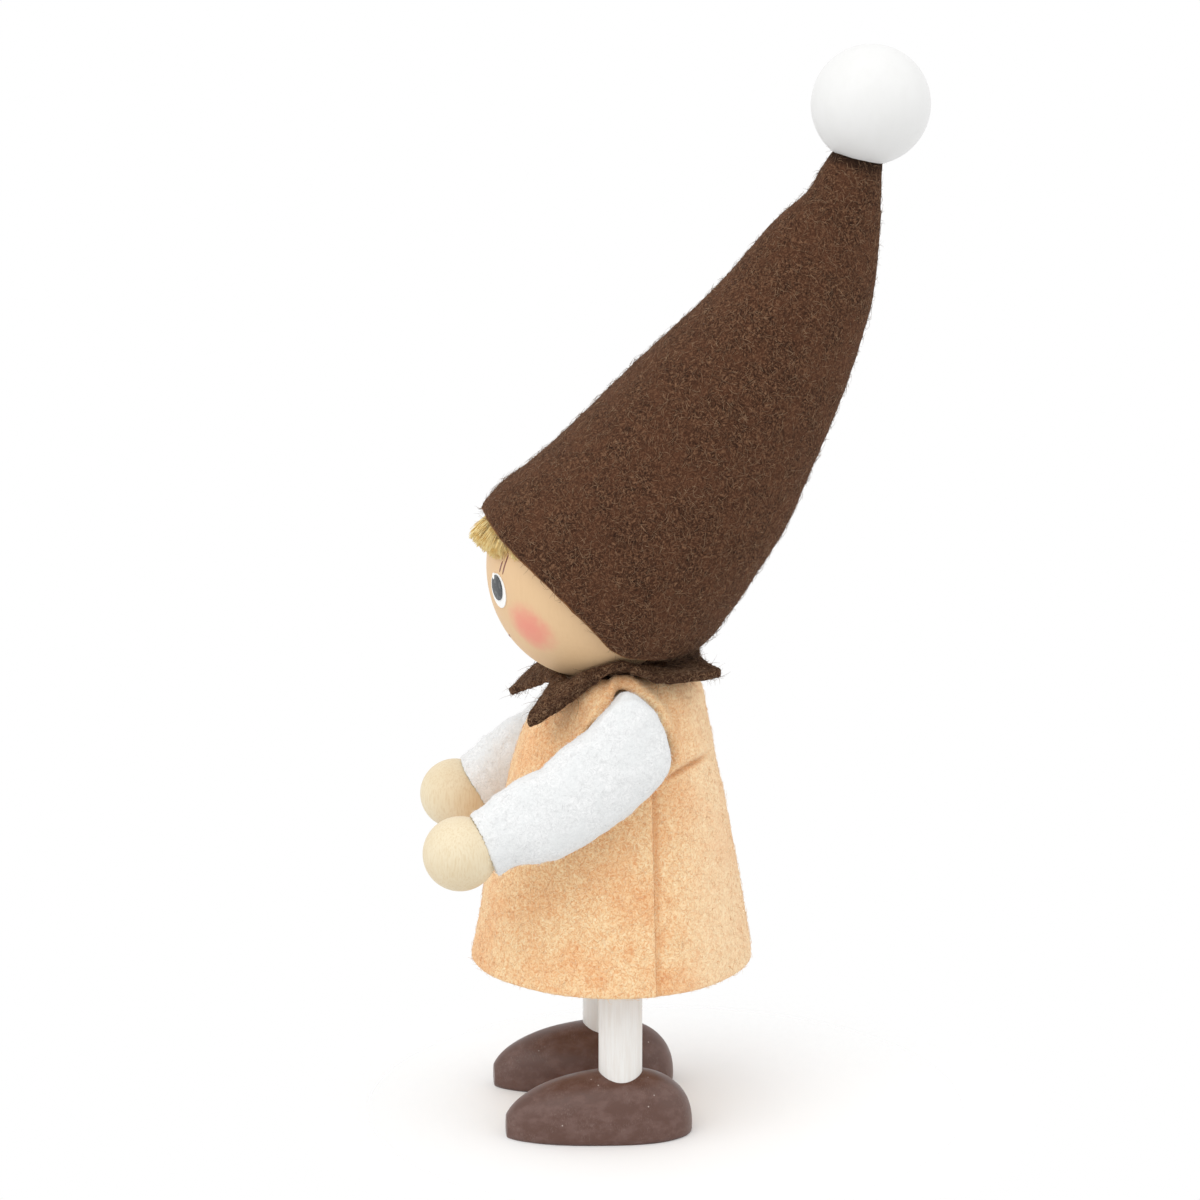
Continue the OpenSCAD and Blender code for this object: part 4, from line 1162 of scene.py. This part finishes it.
def shoe_ring(y, share, sides=64):
    """A cross-section that stands on the ground, with a small round between its wall and the sole."""
    rise, half = (shoe_h - shoe_axis_z) * share, shoe_w / 2 * share
    foot = math.asin(min(1, shoe_axis_z / rise))
    a = np.linspace(-foot, math.pi + foot, sides - 16)
    wall = stack(half * np.cos(a), shoe_axis_z + rise * np.sin(a))
    wall = wall[wall[:, 1] > sole_round]
    edge_x = half * math.cos(foot)
    corner = [(edge_x - sole_round * (1 - math.cos(b)), sole_round * (1 - math.sin(b)))
              for b in np.array([0.15, 0.4, 0.65, 0.9]) * math.pi / 2]
    sole = [(-(edge_x - 0.3) * k / 4, 0.0) for k in range(3, -4, -1)]
    line = np.array(corner[::-1] + wall.tolist() + [(-x, z) for x, z in corner] + sole)
    way = np.concatenate([[0], np.cumsum(length(np.roll(line, -1, 0) - line))])
    closed = np.concatenate([line, line[:1]])
    at = np.linspace(0, way[-1], sides, endpoint=False)
    x, z = (np.interp(at, way, closed[:, i]) for i in (0, 1))
    return stack(x, y, np.maximum(z, 0))


def make_shoe(side):
    """An egg-shaped shoe with a cut toe and a blind hole for the leg."""
    word = "left" if side > 0 else "right"
    ys = [-(toe_len - toe_cut) * math.sin(math.radians(b)) for b in np.linspace(90, 0, 46)]
    ys += [heel_len * math.sin(math.radians(b)) for b in np.linspace(0, 88.6, 44)[1:]]
    rows = [shoe_ring(ys[0], shoe_share(ys[0]) * share) for share in (0.25, 0.8)]
    rows += [shoe_ring(y, shoe_share(y)) for y in ys]
    rows.append(shoe_ring(ys[-1] + 0.01, shoe_share(ys[-1]) * 0.4))
    points = np.concatenate(rows) + [side * leg_x, shoe_back, 0]
    shoe = new_mesh(word + "_shoe_turned", points, capped(len(rows), len(rows[0])), shoe_paint)
    fix_normals(shoe)
    sides = 48
    hole = [(side * leg_x + leg_r * c, leg_r * s, z) for z in (leg_foot_z - 0.01, shoe_h + 2)
            for c, s in polar(turns(sides))]
    drill = new_mesh("drill", hole, capped(2, sides))
    fix_normals(drill)
    cut = shoe.modifiers.new("leg hole", "BOOLEAN")
    cut.operation, cut.object, cut.solver = "DIFFERENCE", drill, "EXACT"
    apply_modifiers(shoe)
    bpy.data.objects.remove(drill)
    ruffle(shoe, (6, 0.05, 41))
    points = points_of(shoe)
    points[:, 2] = np.maximum(points[:, 2], 0)
    set_points(shoe, points)
    settle(shoe, "brown_lacquer", "root", [word + "_shoe"])
    shoe.data.set_sharp_from_angle(angle=math.radians(50))


# Hair
def make_hair():
    """A short brush of straw-coloured hair that comes out from under the cap's front edge."""
    dice = np.random.default_rng(51)
    spread, count, steps, tufts = 34, 1500, 8, 26
    clumps = dice.uniform(-spread, spread, tufts)
    clump_lean, clump_len = dice.normal(0, 3, tufts), dice.normal(0, 1.1, tufts)
    paths, radii = [], []
    for _ in range(count):
        azimuth = dice.uniform(-spread, spread)
        near = np.argmin(np.abs(clumps - azimuth))
        azimuth += (clumps[near] - azimuth) * dice.uniform(0, 0.5)
        fade = max(0.0, 1 - (azimuth / (spread + 4)) ** 2)
        outer = dice.uniform(0, 1)
        start = 31 - 12 * (1 - fade)
        end = 8.6 + 6.8 * outer * fade + clump_len[near] + dice.normal(0, 0.5) + 2.2 * (1 - fade)
        lean = clump_lean[near] + dice.normal(0, 1.5)
        reach = 0.3 + 2.75 * outer * fade + dice.normal(0, 0.1)
        bend = dice.uniform(1.0, 1.5)
        path = []
        for t in np.linspace(0, 1, steps):
            out = 0.25 + 0.55 * outer * min(1, 3 * t) + (reach - 0.25 - 0.55 * outer) * t**bend
            path.append(egg_point(azimuth + lean * t, start + (end - start) * t, max(0.12, out)))
        paths.append(path)
        radii.append(np.linspace(1, 0.55, steps) * dice.uniform(0.05, 0.08))
    settle(strands("hair_strands", paths, radii, 4, hair_fibre), "straw_hair", "head", ["fringe"])


# Where fibres stand on the cap and the tunic: few on the inside
def outside_cap(points, normals):
    tip = np.array([0, tip_reach * math.cos(tip_angle), tip_reach * math.sin(tip_angle)])
    t = np.clip((points[:, 2] - head_centre[2]) / tip[2], 0, 1)
    away = unit(points - head_centre - tip * t[:, None])
    above_rim = (points[:, 2] > head_centre[2] - 16).astype(float)
    return above_rim * (0.15 + (np.einsum("ij,ij->i", normals, away) > 0))


def outside_skirt(points, normals):
    return 0.12 + (np.einsum("ij,ij->i", normals, unit(points * [1, 1, 0])) > -0.1)


# The doll
make_face()
for word in ("left", "right"):
    dress(word + "_hand", hand_wood)
    dress(word + "_leg", white_paint)
    for part in ("upper", "forearm"):
        dress(f"{word}_{part}_wire", wire_steel)
dress("bead", bead_paint)
for name in ("torso", "neck_peg", "bead_peg"):
    dress(name, plain_wood)

cap, tunic, collar = make_cap(), make_tunic(), make_collar()
sleeves = [(arm, make_sleeve(arm)) for arm in ARMS]
for side in (1, -1):
    make_shoe(side)
make_hair()

# Fibres as (name, piece, how many, length, radius, fibre, seed, where), slot, body
for what, slot, body in (
        (("cap_fuzz", cap, 13000, 1.9, 0.038, brown_fibre, 61, outside_cap), "brown_felt", "head"),
        (("tunic_fuzz", tunic, 15000, 1.2, 0.034, peach_fibre, 62, outside_skirt), "peach_felt", "root"),
        (("collar_fuzz", collar, 4200, 1.4, 0.034, brown_fibre, 63), "brown_felt", "root"),
        (("collar_strays", collar, 420, 2.8, 0.036, brown_fibre, 65), "brown_felt", "root")):
    settle(fuzz(*what), slot, body)
for arm, sleeve in sleeves:
    loose = fuzz(arm.word + "_sleeve_fuzz", sleeve, 2600, 1.2, 0.03, white_fibre, 64)
    blend_sleeve(arm, sleeve)
    blend_sleeve(arm, settle(loose, "white_felt"))


# Floor, lights and camera, in metres
scene = bpy.context.scene


def make_floor():
    """A pale floor that fades into the white background."""
    sides, size = 96, 0.17
    m = new_material("floor")
    away = m.vector("LENGTH", m.add("TexCoord")["Object"])
    pale = m.add("BsdfPrincipled", {"Base Color": linear((250, 250, 250)), "Roughness": 0.7,
                                    "Specular IOR Level": 0.1})
    both = m.add("MixShader", {0: m.span(away, 0.016, 0.06), 1: pale[0], 2: m.add("BsdfTransparent")[0]})
    m.add("OutputMaterial", {"Surface": both[0]})
    mesh = bpy.data.meshes.new("floor")
    mesh.from_pydata([(size * c, size * s, 0) for c, s in polar(turns(sides))], [], [list(range(sides))])
    mesh.materials.append(m.owner)
    piece = bpy.data.objects.new("floor", mesh)
    scene.collection.objects.link(piece)


def aim(thing, target, azimuth, elevation, distance):
    """Puts a light or the camera that far from a target, so that it looks at it."""
    way = Vector(direction(azimuth, elevation))
    thing.location = Vector(target) + way * distance
    thing.rotation_euler = way.to_track_quat("Z", "Y").to_euler()
    scene.collection.objects.link(thing)


def add_light(name, azimuth, elevation, distance, size, power):
    """A square soft light that looks at the doll's middle."""
    data = bpy.data.lights.new(name, "AREA")
    data.shape, data.size, data.energy = "SQUARE", size, power
    aim(bpy.data.objects.new(name, data), (0, 0, 0.08), azimuth, elevation, distance)


def make_world():
    """An even white fill, and plain white where the camera, a gloss or a glass looks past the doll."""
    m = Nodes(bpy.data.worlds.new("studio"))
    path = m.add("LightPath")
    seen = m.calc("MAXIMUM", m.calc("MAXIMUM", path["Is Camera Ray"], path["Is Glossy Ray"]),
                  path["Is Transmission Ray"])
    fill, white = (m.add("Background", {"Color": (1, 1, 1, 1), "Strength": power})[0] for power in (0.92, 1))
    m.add("OutputWorld", {"Surface": m.add("MixShader", {0: seen, 1: fill, 2: white})[0]})
    scene.world = m.owner


make_floor()
add_light("key_light", 55, 50, 0.9, 0.7, 1.9)
add_light("front_light", 15, 20, 1.0, 0.8, 1.05)
add_light("back_light", 160, 35, 1.0, 0.8, 1.25)
add_light("top_light", 90, 85, 0.9, 0.9, 0.5)
make_world()
scene.view_settings.view_transform = "Standard"

camera_data = bpy.data.cameras.new("camera")
camera_data.lens, camera_data.sensor_width, camera_data.clip_start = 111.49, 36, 0.02
camera = bpy.data.objects.new("camera", camera_data)
aim(camera, (0, (body_y - 1.82) * MM, 0.07895), 83.7, 12.5, 0.55)
scene.camera = camera
